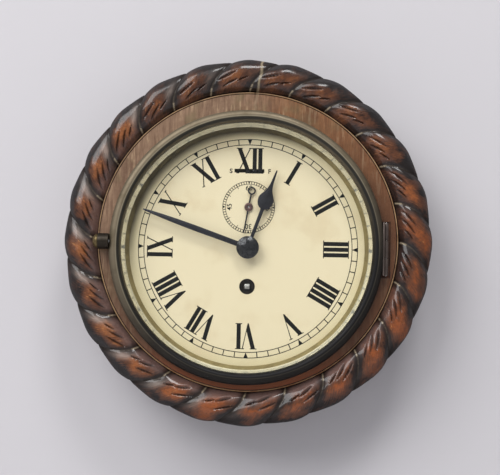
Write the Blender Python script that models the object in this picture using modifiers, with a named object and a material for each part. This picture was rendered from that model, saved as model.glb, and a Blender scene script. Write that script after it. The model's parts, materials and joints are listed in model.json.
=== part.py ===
"""A wall-hung marine clock: a brass drum clock in a wooden surround carved as a rope.

The clock faces -Y and +Z is up. The wall is the plane Y = 0, and the origin is the middle of
the wooden surround on that plane. Most pieces are drawn in the clock's own plane, with x to
the right, y up and the height measured from the wall towards the viewer.
"""

import math

import bmesh
import bpy
from mathutils import Matrix

# Clearances
GAP = 0.0003
FIT = 0.0001
OVERRUN = 0.002

# How round things are
RING_SIDES = 48
SHAFT_SIDES = 12
SCREW_SIDES = 8

# Overall: the brass sizes follow from the bezel's, and the wooden ones from the brass
BEZEL_RADIUS = 0.118
BEZEL_WIDTH = 0.0091

# Wooden surround, round its own centre
FLAT_RING_WIDTH = 0.0171
ROPE_WIDTH = 0.0299
ROPE_UNDERCUT = 0.007
ROPE_HALF_HEIGHT = 0.014
ROPE_PROUD_OF_RING = 0.007
ROPE_LOBES = 24
ROPE_STEPS_PER_LOBE = 4
ROPE_SWEEP = math.radians(9.75)
ROPE_PHASE = math.radians(-0.5)
ROPE_GROOVE_DEPTH_SHARE = 0.22
ROPE_SECTION_ANGLES = (-50, -20, 10, 40, 70, 100, 130, 160)
ROPE_BASE_HEIGHT_SHARE = 0.62
SURROUND_JOINT_OFFSET = 0.0035
BRASS_DROP = 0.0057

# Back board and what hangs the clock
BOARD_LAP = 0.0097
BOARD_THICKNESS = 0.010
HANGER_RISE_SHARE = 0.756
HANGER_LENGTH = 0.052
HANGER_WIDTH = 0.022
HANGER_THICKNESS = 0.002
HANGER_SCREW_INSET = 0.007
HANGER_SCREW_SHANK_RADIUS = 0.0015
KEYHOLE_RADIUS = 0.0045
KEYHOLE_SLOT_RADIUS = 0.0022
KEYHOLE_SLOT_RISE = 0.0068
KEYHOLE_POCKET_DEPTH = 0.0060

# Brass case
DRUM_FRONT_SETBACK = 0.006
DRUM_STEP_WIDTH = 0.006
DRUM_WALL = 0.0012
DRUM_LIP = 0.003
DRUM_BACK_ROOM = 0.0009
FLANGE_SETBACK = 0.0006
FLANGE_THICKNESS = 0.0015
CASE_BACK_THICKNESS = 0.0012
CASE_SCREW_ANGLES = (60, 180, 300)
CASE_SCREW_HEAD_RADIUS = 0.0016
CASE_SCREW_HEAD_HEIGHT = 0.0015
CASE_SCREW_SHANK_RADIUS = 0.0010
CASE_SCREW_LENGTH = 0.012

# Dial
DIAL_LAP = 0.0005
DIAL_THICKNESS = 0.0012
SECONDS_DIAL_RISE = 0.0355
WINDING_HOLE_DROP = 0.0333
WINDING_HOLE_RADIUS = 0.00655
CENTRE_HOLE_RADIUS = 0.0034
SECONDS_HOLE_RADIUS = 0.0012
SLOT_ABOVE_PLATES = 0.0112
SLOT_LENGTH = 0.0259
SLOT_WIDTH = 0.0030
SIGHT_RING_WIDTH = 0.0074
SIGHT_RING_HEIGHT = 0.0040
SIGHT_RING_FLARE = 0.0034
SIGHT_RING_STEP = 0.0007

# Bezel and glass
BEZEL_HEIGHT = 0.0105
BEZEL_WALL = 0.0014
FLAT_RING_ABOVE_DIAL = 0.008
GLASS_LAP = 0.0011
GLASS_THICKNESS = 0.002
GLASS_ABOVE_DIAL = 0.0118
REFLECTOR_RISE = 0.0046
REFLECTOR_WALL = 0.0010
REFLECTOR_RIM = 0.0012

# Hinge at the right
HINGE_PROUD = 0.0005
HINGE_RISE = 0.0016
HINGE_KNUCKLE_RADIUS = 0.0021
HINGE_PIN_RADIUS = 0.0009
HINGE_LENGTH = 0.0448
HINGE_MIDDLE_LENGTH = 0.0154
HINGE_LEAF_THICKNESS = 0.0013
HINGE_LEAF_HEIGHT = 0.0076
HINGE_LEAF_REACH = 0.0055
HINGE_LEAF_LAP = 0.0005
HINGE_NOTCH_WIDTH = 0.0100
HINGE_NOTCH_MARGIN = 0.0018
HINGE_NOTCH_DEPTH = 0.0019

# Thumb screw at the left
CATCH_RISE = 0.0024
CATCH_HEIGHT = 0.0064
KNOB_RADIUS = 0.00675
KNOB_LENGTH = 0.0142
KNOB_BARREL_SHARE = 0.68
SPINDLE_RADIUS = 0.0015
SPINDLE_IN_KNOB = 0.0070
LUG_THICKNESS = 0.0023
LUG_WIDTH = 0.010
LUG_HEIGHT = 0.0078

# Movement frame
PLATE_THICKNESS = 0.0025
PLATE_SPACING = 0.022
MOTION_WORK_ROOM = 0.0069
PLATE_WIDTH = 0.072
PLATE_ABOVE_CONTRATE = 0.0096
PLATE_BOTTOM = 0.0660
PLATE_CORNER = 0.006
PLATE_EDGE_INSET = 0.005
PILLAR_RADIUS = 0.0040
PILLAR_SPIGOT_RADIUS = 0.0018
PILLAR_SPIGOT_PROUD = 0.0024
PILLAR_INSET = 0.0060
PILLAR_TOP_DROP = 0.0101
NUT_RADIUS = 0.0036
NUT_HEIGHT = 0.0018
NUT_SIDES = 6
MOVEMENT_SCREW_HEAD_RADIUS = 0.0024
MOVEMENT_SCREW_HEAD_HEIGHT = 0.0014
MOVEMENT_SCREW_SHANK_RADIUS = 0.0012
MOVEMENT_SCREW_RISE = 0.031
DIAL_FOOT_RADIUS = 0.0016
DIAL_FOOT_RISE = 0.020
DIAL_FOOT_PROUD = 0.0012

# Going train
GREAT_TEETH = 72
CENTRE_LEAVES = 6
CENTRE_TEETH = 48
THIRD_LEAVES = 6
THIRD_TEETH = 45
FOURTH_LEAVES = 6
CONTRATE_TEETH = 48
ESCAPE_LEAVES = 6
ESCAPE_TEETH = 15
THIRD_WHEEL_DROP = 0.0068
CENTRE_TO_THIRD_SHARE = 0.558
THIRD_TO_FOURTH_SHARE = 0.479
TIP_SHARE = 0.85
ROOT_SHARE = 1.05
WHEEL_THICKNESS = 0.0012
GREAT_WHEEL_THICKNESS = 0.0020
PINION_HEIGHT = 0.0019
CENTRE_ARBOR_RADIUS = 0.0010
TRAIN_ARBOR_RADIUS = 0.0008
WHEEL_SEAT_RADIUS = 0.0013
WHEEL_GAP = 0.0009

# Barrel and winding work
BARREL_RADIUS = 0.027
BARREL_WALL = 0.0012
BARREL_HEIGHT = 0.0146
BARREL_FLOOR_RISE = 0.0020
WINDING_ARBOR_RADIUS = 0.0030
WINDING_PIVOT_RADIUS = 0.0016
WINDING_CORE_RADIUS = 0.0060
WINDING_SQUARE = 0.0042
WINDING_TIP_BEHIND_DIAL = 0.0004
SPRING_STRIP = 0.0008
SPRING_TURNS = 3
SPRING_STEPS = 10
RATCHET_TEETH = 24
RATCHET_RADIUS = 0.0085
RATCHET_DEPTH = 0.0012
RATCHET_THICKNESS = 0.0015
CLICK_REACH = 0.0115
CLICK_ANGLE = 55
CLICK_WIDTH = 0.0036
CLICK_SCREW_RADIUS = 0.0011
CLICK_SPRING_THICKNESS = 0.0005
CLICK_LEAN_SHARE = 0.12

# Motion work
CANNON_LEAVES = 12
MINUTE_TEETH = 36
MINUTE_LEAVES = 10
HOUR_TEETH = 40
MOTION_CENTRES = 0.012
CANNON_RADIUS = 0.0019
CANNON_SEAT_RADIUS = 0.0015
HOUR_PIPE_RADIUS = 0.0030
HOUR_SEAT_RADIUS = 0.0026
MOTION_GAP = 0.0004
MINUTE_POST_RADIUS = 0.0010

# Hands
HOUR_HAND_SHARE = 0.708
HOUR_HAND_LIFT = 0.0034
HOUR_HAND_THICKNESS = 0.0010
HOUR_HAND_HUB = 0.0060
HOUR_HAND_ANGLE = 19.6
MINUTE_HAND_SHARE = 0.951
MINUTE_HAND_LIFT = 0.0062
MINUTE_HAND_THICKNESS = 0.0008
MINUTE_HAND_HUB = 0.0056
MINUTE_HAND_WIDTH = 0.0044
MINUTE_HAND_TIP_WIDTH = 0.0010
MINUTE_HAND_ANGLE = 289.2
SECONDS_HAND_LENGTH = 0.0230
SECONDS_HAND_LIFT = 0.0013
SECONDS_HAND_THICKNESS = 0.0006
SECONDS_HAND_ANGLE = 190.1
SECONDS_HUB_RADIUS = 0.0037
SECONDS_TAIL = 0.0155
SECONDS_RING_RADIUS = 0.0033
SECONDS_RING_WALL = 0.0010
SECONDS_HAND_WIDTH = 0.0012
BOSS_RADIUS = 0.00975
BOSS_HEIGHT = 0.0036
BOSS_RIM = 0.0005

# Platform escapement, over the plates: depths are heights from the wall
CONTRATE_DROP = 0.0065
PALLET_TO_BALANCE = 0.0042
ESCAPE_TO_PALLET_SHARE = 1.152
PLATFORM_HALF_WIDTH = 0.013
PLATFORM_THICKNESS = 0.0015
CONTRATE_RADIUS = 0.011
CONTRATE_TOOTH_LENGTH = 0.0016
CONTRATE_WEB = 0.0010
ESCAPE_RADIUS = 0.0046
ESCAPE_ROOT_RADIUS = 0.0034
ESCAPE_ARBOR_RADIUS = 0.0006
ESCAPE_WHEEL_THICKNESS = 0.0008
ESCAPE_WHEEL_RISE = 0.0015
POTENCE_DROP = 0.0117
POTENCE_FOOT = 0.0012
POTENCE_HALF_WIDTH = 0.0024
POTENCE_BEHIND_ESCAPE = 0.0033
POTENCE_STEM = 0.0014
COCK_THICKNESS = 0.0009
COCK_RISE = 0.0030
COCK_HALF_WIDTH = 0.0022
COCK_LEG = 0.0012
PALLET_ARBOR_RADIUS = 0.0004
PALLET_THICKNESS = 0.0009
PALLET_SPAN = 0.0029
BALANCE_RADIUS = 0.0082
BALANCE_RIM = 0.0011
BALANCE_RIM_HEIGHT = 0.0012
BALANCE_RISE = 0.0046
STAFF_RADIUS = 0.0005
ROLLER_RADIUS = 0.0013
ROLLER_HEIGHT = 0.0006
BALANCE_COCK_RISE = 0.0075
BALANCE_COCK_THICKNESS = 0.0013
BALANCE_COCK_LEG = 0.0034
BALANCE_COCK_HALF_WIDTH = 0.0022
BALANCE_BOSS_RADIUS = 0.0011
HAIRSPRING_RADIUS = 0.0045
HAIRSPRING_INNER_RADIUS = 0.0012
HAIRSPRING_STRIP = 0.0003
HAIRSPRING_HEIGHT = 0.0006
HAIRSPRING_TURNS = 3
INDEX_THICKNESS = 0.0006
INDEX_RING_RADIUS = 0.0024
INDEX_WIDTH = 0.0012
INDEX_BEYOND_DIAL = 0.0012
INDEX_ANGLE = 10

# Radii and places that follow from the above
BEZEL_OPENING_RADIUS = BEZEL_RADIUS - BEZEL_WIDTH
GLASS_RADIUS = BEZEL_OPENING_RADIUS + GLASS_LAP
DIAL_SEEN_RADIUS = BEZEL_OPENING_RADIUS - SIGHT_RING_WIDTH
DRUM_FRONT_RADIUS = BEZEL_RADIUS - DRUM_FRONT_SETBACK
DRUM_RADIUS = DRUM_FRONT_RADIUS - DRUM_STEP_WIDTH
FLANGE_RADIUS = BEZEL_RADIUS - FLANGE_SETBACK
DIAL_RADIUS = DRUM_RADIUS + DIAL_LAP
HINGE_AXIS_X = BEZEL_RADIUS + HINGE_PROUD
BOARD_RADIUS = DRUM_FRONT_RADIUS + BOARD_LAP
HANGER_HEIGHT = BOARD_RADIUS * HANGER_RISE_SHARE
ROPE_OUTER_RADIUS = DRUM_FRONT_RADIUS + FLAT_RING_WIDTH + ROPE_WIDTH
HOUR_HAND_LENGTH = DIAL_SEEN_RADIUS * HOUR_HAND_SHARE
MINUTE_HAND_LENGTH = DIAL_SEEN_RADIUS * MINUTE_HAND_SHARE
CENTRE_TO_THIRD = SECONDS_DIAL_RISE * CENTRE_TO_THIRD_SHARE
THIRD_TO_FOURTH = SECONDS_DIAL_RISE * THIRD_TO_FOURTH_SHARE
HANGER_SCREW_REACH = HANGER_LENGTH / 2 - HANGER_SCREW_INSET
PLATE_TOP = SECONDS_DIAL_RISE + CONTRATE_RADIUS + PLATE_ABOVE_CONTRATE
PILLAR_UPPER_RISE = PLATE_TOP - PILLAR_TOP_DROP
SLOT_RISE = PLATE_TOP + SLOT_ABOVE_PLATES

# Heights from the wall that follow from the above
DRUM_BACK = BOARD_THICKNESS + DRUM_BACK_ROOM
CASE_BACK = DRUM_BACK + DRUM_WALL + GAP
BACK_PLATE = CASE_BACK + CASE_BACK_THICKNESS + GAP
PLATES_INSIDE = BACK_PLATE + PLATE_THICKNESS
FRONT_PLATE = PLATES_INSIDE + PLATE_SPACING
FRONT_PLATE_FACE = FRONT_PLATE + PLATE_THICKNESS
DIAL_BACK = FRONT_PLATE_FACE + MOTION_WORK_ROOM
DIAL_FACE = DIAL_BACK + DIAL_THICKNESS
DRUM_STEP = DIAL_BACK - GAP
FLAT_RING = DIAL_FACE + FLAT_RING_ABOVE_DIAL
FLANGE_BACK = FLAT_RING + GAP
FLANGE_FACE = FLANGE_BACK + FLANGE_THICKNESS
BEZEL_BACK = FLANGE_FACE + GAP
GLASS_BACK = DIAL_FACE + GLASS_ABOVE_DIAL
BEZEL_LIP = GLASS_BACK + GLASS_THICKNESS + GAP
HINGE_AXIS_HEIGHT = BEZEL_BACK + HINGE_RISE
CATCH_AXIS_HEIGHT = BEZEL_BACK + CATCH_HEIGHT
BARREL_FRONT = FRONT_PLATE - PLATE_SPACING / 4
GREAT_WHEEL_BACK = BARREL_FRONT - BARREL_WALL / 2
CENTRE_WHEEL_BACK = GREAT_WHEEL_BACK + GREAT_WHEEL_THICKNESS + WHEEL_GAP
THIRD_WHEEL_BACK = CENTRE_WHEEL_BACK - THIRD_WHEEL_DROP
ESCAPE_PITCH_RADIUS = CONTRATE_RADIUS * ESCAPE_LEAVES / CONTRATE_TEETH
CONTRATE_PITCH_HEIGHT = THIRD_WHEEL_BACK - CONTRATE_DROP
ESCAPE_DEPTH = CONTRATE_PITCH_HEIGHT - ESCAPE_PITCH_RADIUS
POTENCE_BACK_DEPTH = ESCAPE_DEPTH - POTENCE_BEHIND_ESCAPE
PALLET_DEPTH = ESCAPE_DEPTH + ESCAPE_RADIUS * ESCAPE_TO_PALLET_SHARE
BALANCE_DEPTH = PALLET_DEPTH + PALLET_TO_BALANCE
PLATFORM_RISE = PLATE_TOP + GAP
PLATFORM_TOP = PLATFORM_RISE + PLATFORM_THICKNESS

# Tooth shapes: places along one pitch, with 0 for the root and 1 for the tip
TOOTH_SHARES = ((-0.5, 0), (0.0, 1))
NARROW_LEAF_SHARES = ((-0.28, 0), (0.0, 1), (0.28, 0))
RATCHET_SHARES = ((-0.1, 0), (0.0, 1))
ESCAPE_SHARES = ((0.0, 1), (0.12, 0))
HOUR_HAND_SHAPE_SHARES = (
    (0.40, 0.024), (0.50, 0.022), (0.525, 0.062), (0.57, 0.093), (0.61, 0.100),
    (0.66, 0.085), (0.72, 0.056), (0.78, 0.034), (0.87, 0.017), (1.0, 0.006),
)


# Scene, materials and mesh helpers


def clear_scene():
    for obj in list(bpy.data.objects):
        bpy.data.objects.remove(obj, do_unlink=True)


def new_collection(name):
    collection = bpy.data.collections.new(name)
    bpy.context.scene.collection.children.link(collection)
    return collection


def finish(name, colour, roughness, metallic, alpha=1.0):
    material = bpy.data.materials.new(name)
    material.use_nodes = True
    shader = material.node_tree.nodes["Principled BSDF"]
    shader.inputs["Base Color"].default_value = (*colour, 1.0)
    shader.inputs["Roughness"].default_value = roughness
    shader.inputs["Metallic"].default_value = metallic
    shader.inputs["Alpha"].default_value = alpha
    return material


def make_finishes():
    return {
        "carved_wood": finish("carved_wood", (0.11, 0.045, 0.022), 0.35, 0.0),
        "board_wood": finish("board_wood", (0.20, 0.11, 0.06), 0.65, 0.0),
        "dark_brass": finish("dark_brass", (0.09, 0.075, 0.05), 0.38, 1.0),
        "bright_brass": finish("bright_brass", (0.72, 0.55, 0.27), 0.28, 1.0),
        "polished_rim": finish("polished_rim", (0.86, 0.82, 0.66), 0.12, 1.0),
        "dial_paint": finish("dial_paint", (0.78, 0.68, 0.43), 0.45, 0.0),
        "blued_steel": finish("blued_steel", (0.02, 0.022, 0.03), 0.30, 1.0),
        "bright_steel": finish("bright_steel", (0.55, 0.55, 0.56), 0.30, 1.0),
        "spring_steel": finish("spring_steel", (0.16, 0.19, 0.28), 0.32, 1.0),
        "clear_glass": finish("clear_glass", (0.95, 0.97, 0.96), 0.03, 0.0, 0.2),
    }


def empty_axis(name, parent=None, location=(0, 0, 0), rotation=(0, 0, 0)):
    empty = bpy.data.objects.new(name, None)
    bpy.context.scene.collection.objects.link(empty)
    empty.parent = parent
    empty.location = location
    empty.rotation_euler = rotation
    empty.empty_display_size = HANGER_WIDTH
    return empty


def place(obj, axis, location=(0, 0, 0)):
    obj.parent = axis
    obj.location = location
    return obj


def piece(name, mesh, material, axis, location=(0, 0, 0)):
    """A sub-part: an object in the clock's collection with its own material."""
    obj = bpy.data.objects.new(name, mesh)
    PARTS.objects.link(obj)
    mesh.materials.clear()
    mesh.materials.append(material)
    mesh.shade_smooth()
    mesh.set_sharp_from_angle(angle=math.radians(32))
    return place(obj, axis, location)


def helper(name, mesh, axis, location=(0, 0, 0)):
    """A cutter or a shape to be joined: hidden from the build and drawn as wire."""
    obj = bpy.data.objects.new(name, mesh)
    HELPERS.objects.link(obj)
    obj.hide_render = True
    obj.display_type = "WIRE"
    return place(obj, axis, location)


def boolean(obj, operation, other):
    modifier = obj.modifiers.new(f"{operation.lower()}_{other.name}", "BOOLEAN")
    modifier.operation = operation
    modifier.solver = "EXACT"
    modifier.object = other


def cut(obj, *cutters):
    for cutter in cutters:
        boolean(obj, "DIFFERENCE", cutter)
    return obj


def unite(obj, *others):
    for other in others:
        boolean(obj, "UNION", other)
    return obj


def mesh_from(bm, name):
    bmesh.ops.recalc_face_normals(bm, faces=bm.faces)
    mesh = bpy.data.meshes.new(name)
    bm.to_mesh(mesh)
    bm.free()
    return mesh


def prism(outline, low, high, holes=()):
    """A flat outline with holes, made as a filled curve and extruded from low to high."""
    curve = bpy.data.curves.new("outline", "CURVE")
    curve.dimensions = "2D"
    curve.fill_mode = "BOTH"
    curve.extrude = (high - low) / 2
    for loop in (outline, *holes):
        spline = curve.splines.new("POLY")
        spline.points.add(len(loop) - 1)
        spline.use_cyclic_u = True
        for point, (x, y) in zip(spline.points, loop):
            point.co = (x, y, 0, 1)
    guide = bpy.data.objects.new("outline", curve)
    mesh = bpy.data.meshes.new_from_object(guide)
    bpy.data.objects.remove(guide)
    bpy.data.curves.remove(curve)
    bm = bmesh.new()
    bm.from_mesh(mesh)
    bpy.data.meshes.remove(mesh)
    bmesh.ops.remove_doubles(bm, verts=bm.verts, dist=FIT / 100)
    bmesh.ops.translate(bm, verts=bm.verts, vec=(0, 0, (low + high) / 2))
    return mesh_from(bm, "prism")


def turned(name, profile, sides, material, axis, location=(0, 0, 0), closed=True):
    """A turned piece: its profile of (radius, height) runs down its outer side."""
    return lathe(piece(name, profile_mesh(profile, closed), material, axis, location), sides)


def profile_mesh(profile, closed):
    mesh = bpy.data.meshes.new("profile")
    edges = [(i, i + 1) for i in range(len(profile) - 1)]
    if closed:
        edges.append((len(profile) - 1, 0))
    mesh.from_pydata([(radius, 0, height) for radius, height in profile], edges, [])
    return mesh


def lathe(obj, sides):
    screw = obj.modifiers.new("turn", "SCREW")
    screw.axis = "Z"
    screw.angle = math.tau
    screw.steps = sides
    screw.render_steps = sides
    screw.use_merge_vertices = True
    screw.merge_threshold = FIT / 100
    screw.use_smooth_shade = False
    return obj


def settled(obj):
    """The mesh that an object's modifiers give, with the object itself removed."""
    bpy.context.view_layer.update()
    graph = bpy.context.evaluated_depsgraph_get()
    mesh = bpy.data.meshes.new_from_object(obj.evaluated_get(graph))
    bpy.data.objects.remove(obj)
    return mesh


def turned_mesh(profile, sides, closed=False):
    return settled(lathe(helper("template", profile_mesh(profile, closed), None), sides))


def gathered(mesh, moves):
    """Copies of one mesh, each moved by a matrix, as one mesh of separate solids."""
    bm = bmesh.new()
    for move in moves:
        before = len(bm.verts)
        bm.from_mesh(mesh)
        bm.verts.ensure_lookup_table()
        bmesh.ops.transform(bm, matrix=move, verts=bm.verts[before:])
    return mesh_from(bm, "gathered")


def repeated(name, mesh, moves, material, axis):
    """One numbered sub-part for each place where the same fixing is used."""
    for number, move in enumerate(moves, 1):
        obj = piece(f"{name}_{number}", mesh.copy(), material, axis, move.to_translation())
        obj.rotation_euler = move.to_euler()


def moved_to(x, y, height=0.0):
    return Matrix.Translation((x, y, height))


def block(low, high):
    """A box between two corners."""
    bm = bmesh.new()
    bmesh.ops.create_cube(bm, size=1)
    size = [b - a for a, b in zip(low, high)]
    middle = [(a + b) / 2 for a, b in zip(low, high)]
    bmesh.ops.scale(bm, vec=size, verts=bm.verts)
    bmesh.ops.translate(bm, vec=middle, verts=bm.verts)
    return mesh_from(bm, "block")


def stepped(outline, spans):
    """A shaft through a toothed outline: each span is (low, high, radius), or a radius of None for teeth."""
    bm = bmesh.new()
    rings = []
    for low, high, radius in spans:
        loop = outline if radius is None else rounded_to(outline, radius)
        for height in (low, high):
            rings.append([bm.verts.new((x, y, height)) for x, y in loop])
    for lower, upper in zip(rings, rings[1:]):
        for i in range(len(outline)):
            j = (i + 1) % len(outline)
            bm.faces.new((lower[i], lower[j], upper[j], upper[i]))
    bm.faces.new(reversed(rings[0]))
    bm.faces.new(rings[-1])
    return mesh_from(bm, "stepped")


# Outlines


def polar(radius, angle):
    return radius * math.cos(angle), radius * math.sin(angle)


def dial_place(radius, clockwise):
    """A place on the dial, with its angle in degrees clockwise from 12."""
    angle = math.radians(clockwise)
    return radius * math.sin(angle), radius * math.cos(angle)


def arc(radius, start, end, count, centre=(0, 0)):
    """Points on an arc, with its angles in degrees."""
    x, y = centre
    angles = [math.radians(start + (end - start) * i / (count - 1)) for i in range(count)]
    return [(x + radius * math.cos(a), y + radius * math.sin(a)) for a in angles]


def circle(radius, sides, centre=(0, 0)):
    return arc(radius, 0, 360 - 360 / sides, sides, centre)


def round_hole(shaft_radius, sides, centre=(0, 0)):
    """A hole whose flats clear a shaft of this radius however it turns."""
    return circle(bore(shaft_radius, sides), sides, centre)


def bore(shaft_radius, sides):
    return (shaft_radius + FIT) / math.cos(math.pi / sides)


def rectangle(left, bottom, right, top):
    return [(left, bottom), (right, bottom), (right, top), (left, top)]


def rounded_to(outline, radius):
    return [polar(radius, math.atan2(y, x)) for x, y in outline]


def toothed(teeth, pitch_radius, module, shares, turn=0.0):
    """The outline of a wheel or pinion, with a tooth tip at the angle turn."""
    levels = (pitch_radius - ROOT_SHARE * module, pitch_radius + TIP_SHARE * module)
    return tooth_loop(teeth, levels, shares, turn)


def tooth_loop(teeth, levels, shares, turn=0.0):
    pitch = math.tau / teeth
    return [
        polar(levels[level], turn + (i + along) * pitch)
        for i in range(teeth)
        for along, level in shares
    ]


def gap_towards(angle, teeth):
    """The turn that puts a gap between two teeth at this angle."""
    return angle + math.pi / teeth


def crossings(inner, outer, count, arm):
    """Windows between the arms of a wheel."""
    windows = []
    for i in range(count):
        middle = 360 * (i + 0.5) / count
        far = 180 / count - math.degrees(arm / 2 / outer)
        near = 180 / count - math.degrees(arm / 2 / inner)
        rim = arc(outer, middle - far, middle + far, 5)
        hub = arc(inner, middle + near, middle - near, 2)
        windows.append(rim + hub)
    return windows


def spun(outline, angle):
    """An outline turned anticlockwise by an angle in radians."""
    c = math.cos(angle)
    s = math.sin(angle)
    return [(x * c - y * s, x * s + y * c) for x, y in outline]


def turn_outline(outline, clockwise):
    """An outline drawn towards 12, turned to this angle in degrees."""
    return spun(outline, -math.radians(clockwise))


def mirrored(side):
    """A closed outline from its right half, listed from bottom to top."""
    return side + [(-x, y) for x, y in reversed(side)]


def screw_profile(head_radius, head_height, shank_radius, length, grow=0.0, reach=0.0):
    """A screw along its own height, head upwards, its seat at 0, or its hole where grow and reach are given."""
    return [
        (0, head_height + reach),
        (head_radius + grow, head_height + reach),
        (head_radius + grow, 0),
        (shank_radius + grow, 0),
        (shank_radius + grow, -length - grow),
        (0, -length - grow),
    ]


def facing_back(x, y, height):
    """Puts a screw's head towards the wall."""
    return moved_to(x, y, height) @ Matrix.Rotation(math.pi, 4, "X")


# Wooden surround and back board


def rope_point(angle_in_section, groove):
    """A point of the rope's half round, drawn in where the groove runs."""
    half_width = ROPE_WIDTH / 2
    shrink = 1 - ROPE_GROOVE_DEPTH_SHARE * groove
    centre_height = FLAT_RING + ROPE_PROUD_OF_RING - ROPE_HALF_HEIGHT
    angle = math.radians(angle_in_section)
    radius = ROPE_OUTER_RADIUS - half_width + half_width * shrink * math.cos(angle)
    return radius, centre_height + ROPE_HALF_HEIGHT * shrink * math.sin(angle)


def eccentric_radius(bore_radius, clockwise):
    """How far the brass clock's round hole lies from the surround's own centre at an angle."""
    across = BRASS_DROP * math.sin(clockwise)
    return math.sqrt(bore_radius**2 - across**2) - BRASS_DROP * math.cos(clockwise)


def surround_section(step):
    """(clockwise angle, radius, height) of each corner of the surround's section at one step."""
    steps = ROPE_LOBES * ROPE_STEPS_PER_LOBE
    base = math.tau * step / steps + ROPE_PHASE
    phase = (step % ROPE_STEPS_PER_LOBE) / ROPE_STEPS_PER_LOBE
    groove = (1 - abs(math.sin(math.pi * phase))) ** 1.5
    inner_radius = ROPE_OUTER_RADIUS - ROPE_WIDTH
    section = []
    for angle_in_section in ROPE_SECTION_ANGLES:
        radius, height = rope_point(angle_in_section, groove)
        along = min(1, (radius - inner_radius) / ROPE_WIDTH)
        section.append((base + ROPE_SWEEP * along, radius, height))
    section.append((base, inner_radius, FLAT_RING))
    for bore_radius, height in (
        (DRUM_FRONT_RADIUS + GAP, FLAT_RING),
        (DRUM_FRONT_RADIUS + GAP, DRUM_STEP - DRUM_WALL - GAP),
        (DRUM_RADIUS + GAP, DRUM_STEP - DRUM_WALL - GAP),
        (DRUM_RADIUS + GAP, BOARD_THICKNESS + GAP),
    ):
        section.append((base, eccentric_radius(bore_radius, base), height))
    section.append((base, BOARD_RADIUS + GAP, BOARD_THICKNESS + GAP))
    section.append((base, BOARD_RADIUS + GAP, 0))
    base_radius = ROPE_OUTER_RADIUS - ROPE_UNDERCUT
    section.append((base + ROPE_SWEEP, base_radius, 0))
    section.append((base + ROPE_SWEEP, base_radius, FLAT_RING * ROPE_BASE_HEIGHT_SHARE))
    return section


def surround_ring():
    """The whole surround as a loft of one section per step round the ring."""
    bm = bmesh.new()
    rings = []
    for step in range(ROPE_LOBES * ROPE_STEPS_PER_LOBE):
        corners = surround_section(step)
        rings.append([bm.verts.new((r * math.sin(a), r * math.cos(a), h)) for a, r, h in corners])
    for ring, following in zip(rings, rings[1:] + rings[:1]):
        for i in range(len(ring)):
            j = (i + 1) % len(ring)
            bm.faces.new((ring[i], ring[j], following[j], following[i]))
    bmesh.ops.recalc_face_normals(bm, faces=bm.faces)
    return bm


def surround_half(side):
    """The half on one side of the glue joint: side is -1 for the left and 1 for the right."""
    bm = surround_ring()
    bmesh.ops.bisect_plane(
        bm,
        geom=bm.verts[:] + bm.edges[:] + bm.faces[:],
        plane_co=(SURROUND_JOINT_OFFSET + side * GAP / 2, 0, 0),
        plane_no=(-side, 0, 0),
        clear_outer=True,
    )
    rim = [edge for edge in bm.edges if edge.is_boundary]
    bmesh.ops.holes_fill(bm, edges=rim, sides=0)
    return mesh_from(bm, "surround")


def case_screw_mesh(grow=0.0, reach=0.0):
    profile = screw_profile(
        CASE_SCREW_HEAD_RADIUS,
        CASE_SCREW_HEAD_HEIGHT,
        CASE_SCREW_SHANK_RADIUS,
        CASE_SCREW_LENGTH,
        grow,
        reach,
    )
    return turned_mesh(profile, SCREW_SIDES)


def case_screw_moves():
    circle_radius = (DIAL_RADIUS + DRUM_FRONT_RADIUS - DRUM_WALL) / 2
    places = [dial_place(circle_radius, angle) for angle in CASE_SCREW_ANGLES]
    return [moved_to(x, y, DRUM_STEP + GAP) for x, y in places]


def hinge_notch():
    half = HINGE_LENGTH / 2 + HINGE_NOTCH_MARGIN
    right = HINGE_AXIS_X + HINGE_KNUCKLE_RADIUS + HINGE_NOTCH_MARGIN
    low = (right - HINGE_NOTCH_WIDTH, -half, FLAT_RING - HINGE_NOTCH_DEPTH)
    return block(low, (right, half, FLAT_RING + OVERRUN))


def build_surround():
    holes = gathered(case_screw_mesh(FIT, OVERRUN), case_screw_moves())
    seats = helper("case_screw_holes", holes, DIAL_AXIS)
    notch = helper("hinge_notch", hinge_notch(), DIAL_AXIS)
    wood = FINISHES["carved_wood"]
    left = piece("surround_left_half", surround_half(-1), wood, WALL_AXIS)
    right = piece("surround_right_half", surround_half(1), wood, WALL_AXIS)
    cut(left, seats)
    cut(right, seats, notch)
    return seats


def keyhole():
    """A round hole with a narrower slot rising from it."""
    half = math.degrees(math.asin(KEYHOLE_SLOT_RADIUS / KEYHOLE_RADIUS))
    head = arc(KEYHOLE_RADIUS, 90 + half, 450 - half, SHAFT_SIDES)
    slot = arc(KEYHOLE_SLOT_RADIUS, 0, 180, SCREW_SIDES, (0, KEYHOLE_SLOT_RISE))
    return head + slot


def hanger_screw_mesh(grow=0.0, reach=0.0):
    profile = screw_profile(
        HANGER_SCREW_SHANK_RADIUS + HANGER_THICKNESS / 2,
        HANGER_THICKNESS / 2,
        HANGER_SCREW_SHANK_RADIUS,
        BOARD_THICKNESS / 2,
        grow,
        reach,
    )
    return turned_mesh(profile, SCREW_SIDES)


def hanger_screw_moves():
    seat = GAP * 2 + HANGER_THICKNESS / 2
    return [facing_back(side * HANGER_SCREW_REACH, HANGER_HEIGHT, seat) for side in (-1, 1)]


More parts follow.
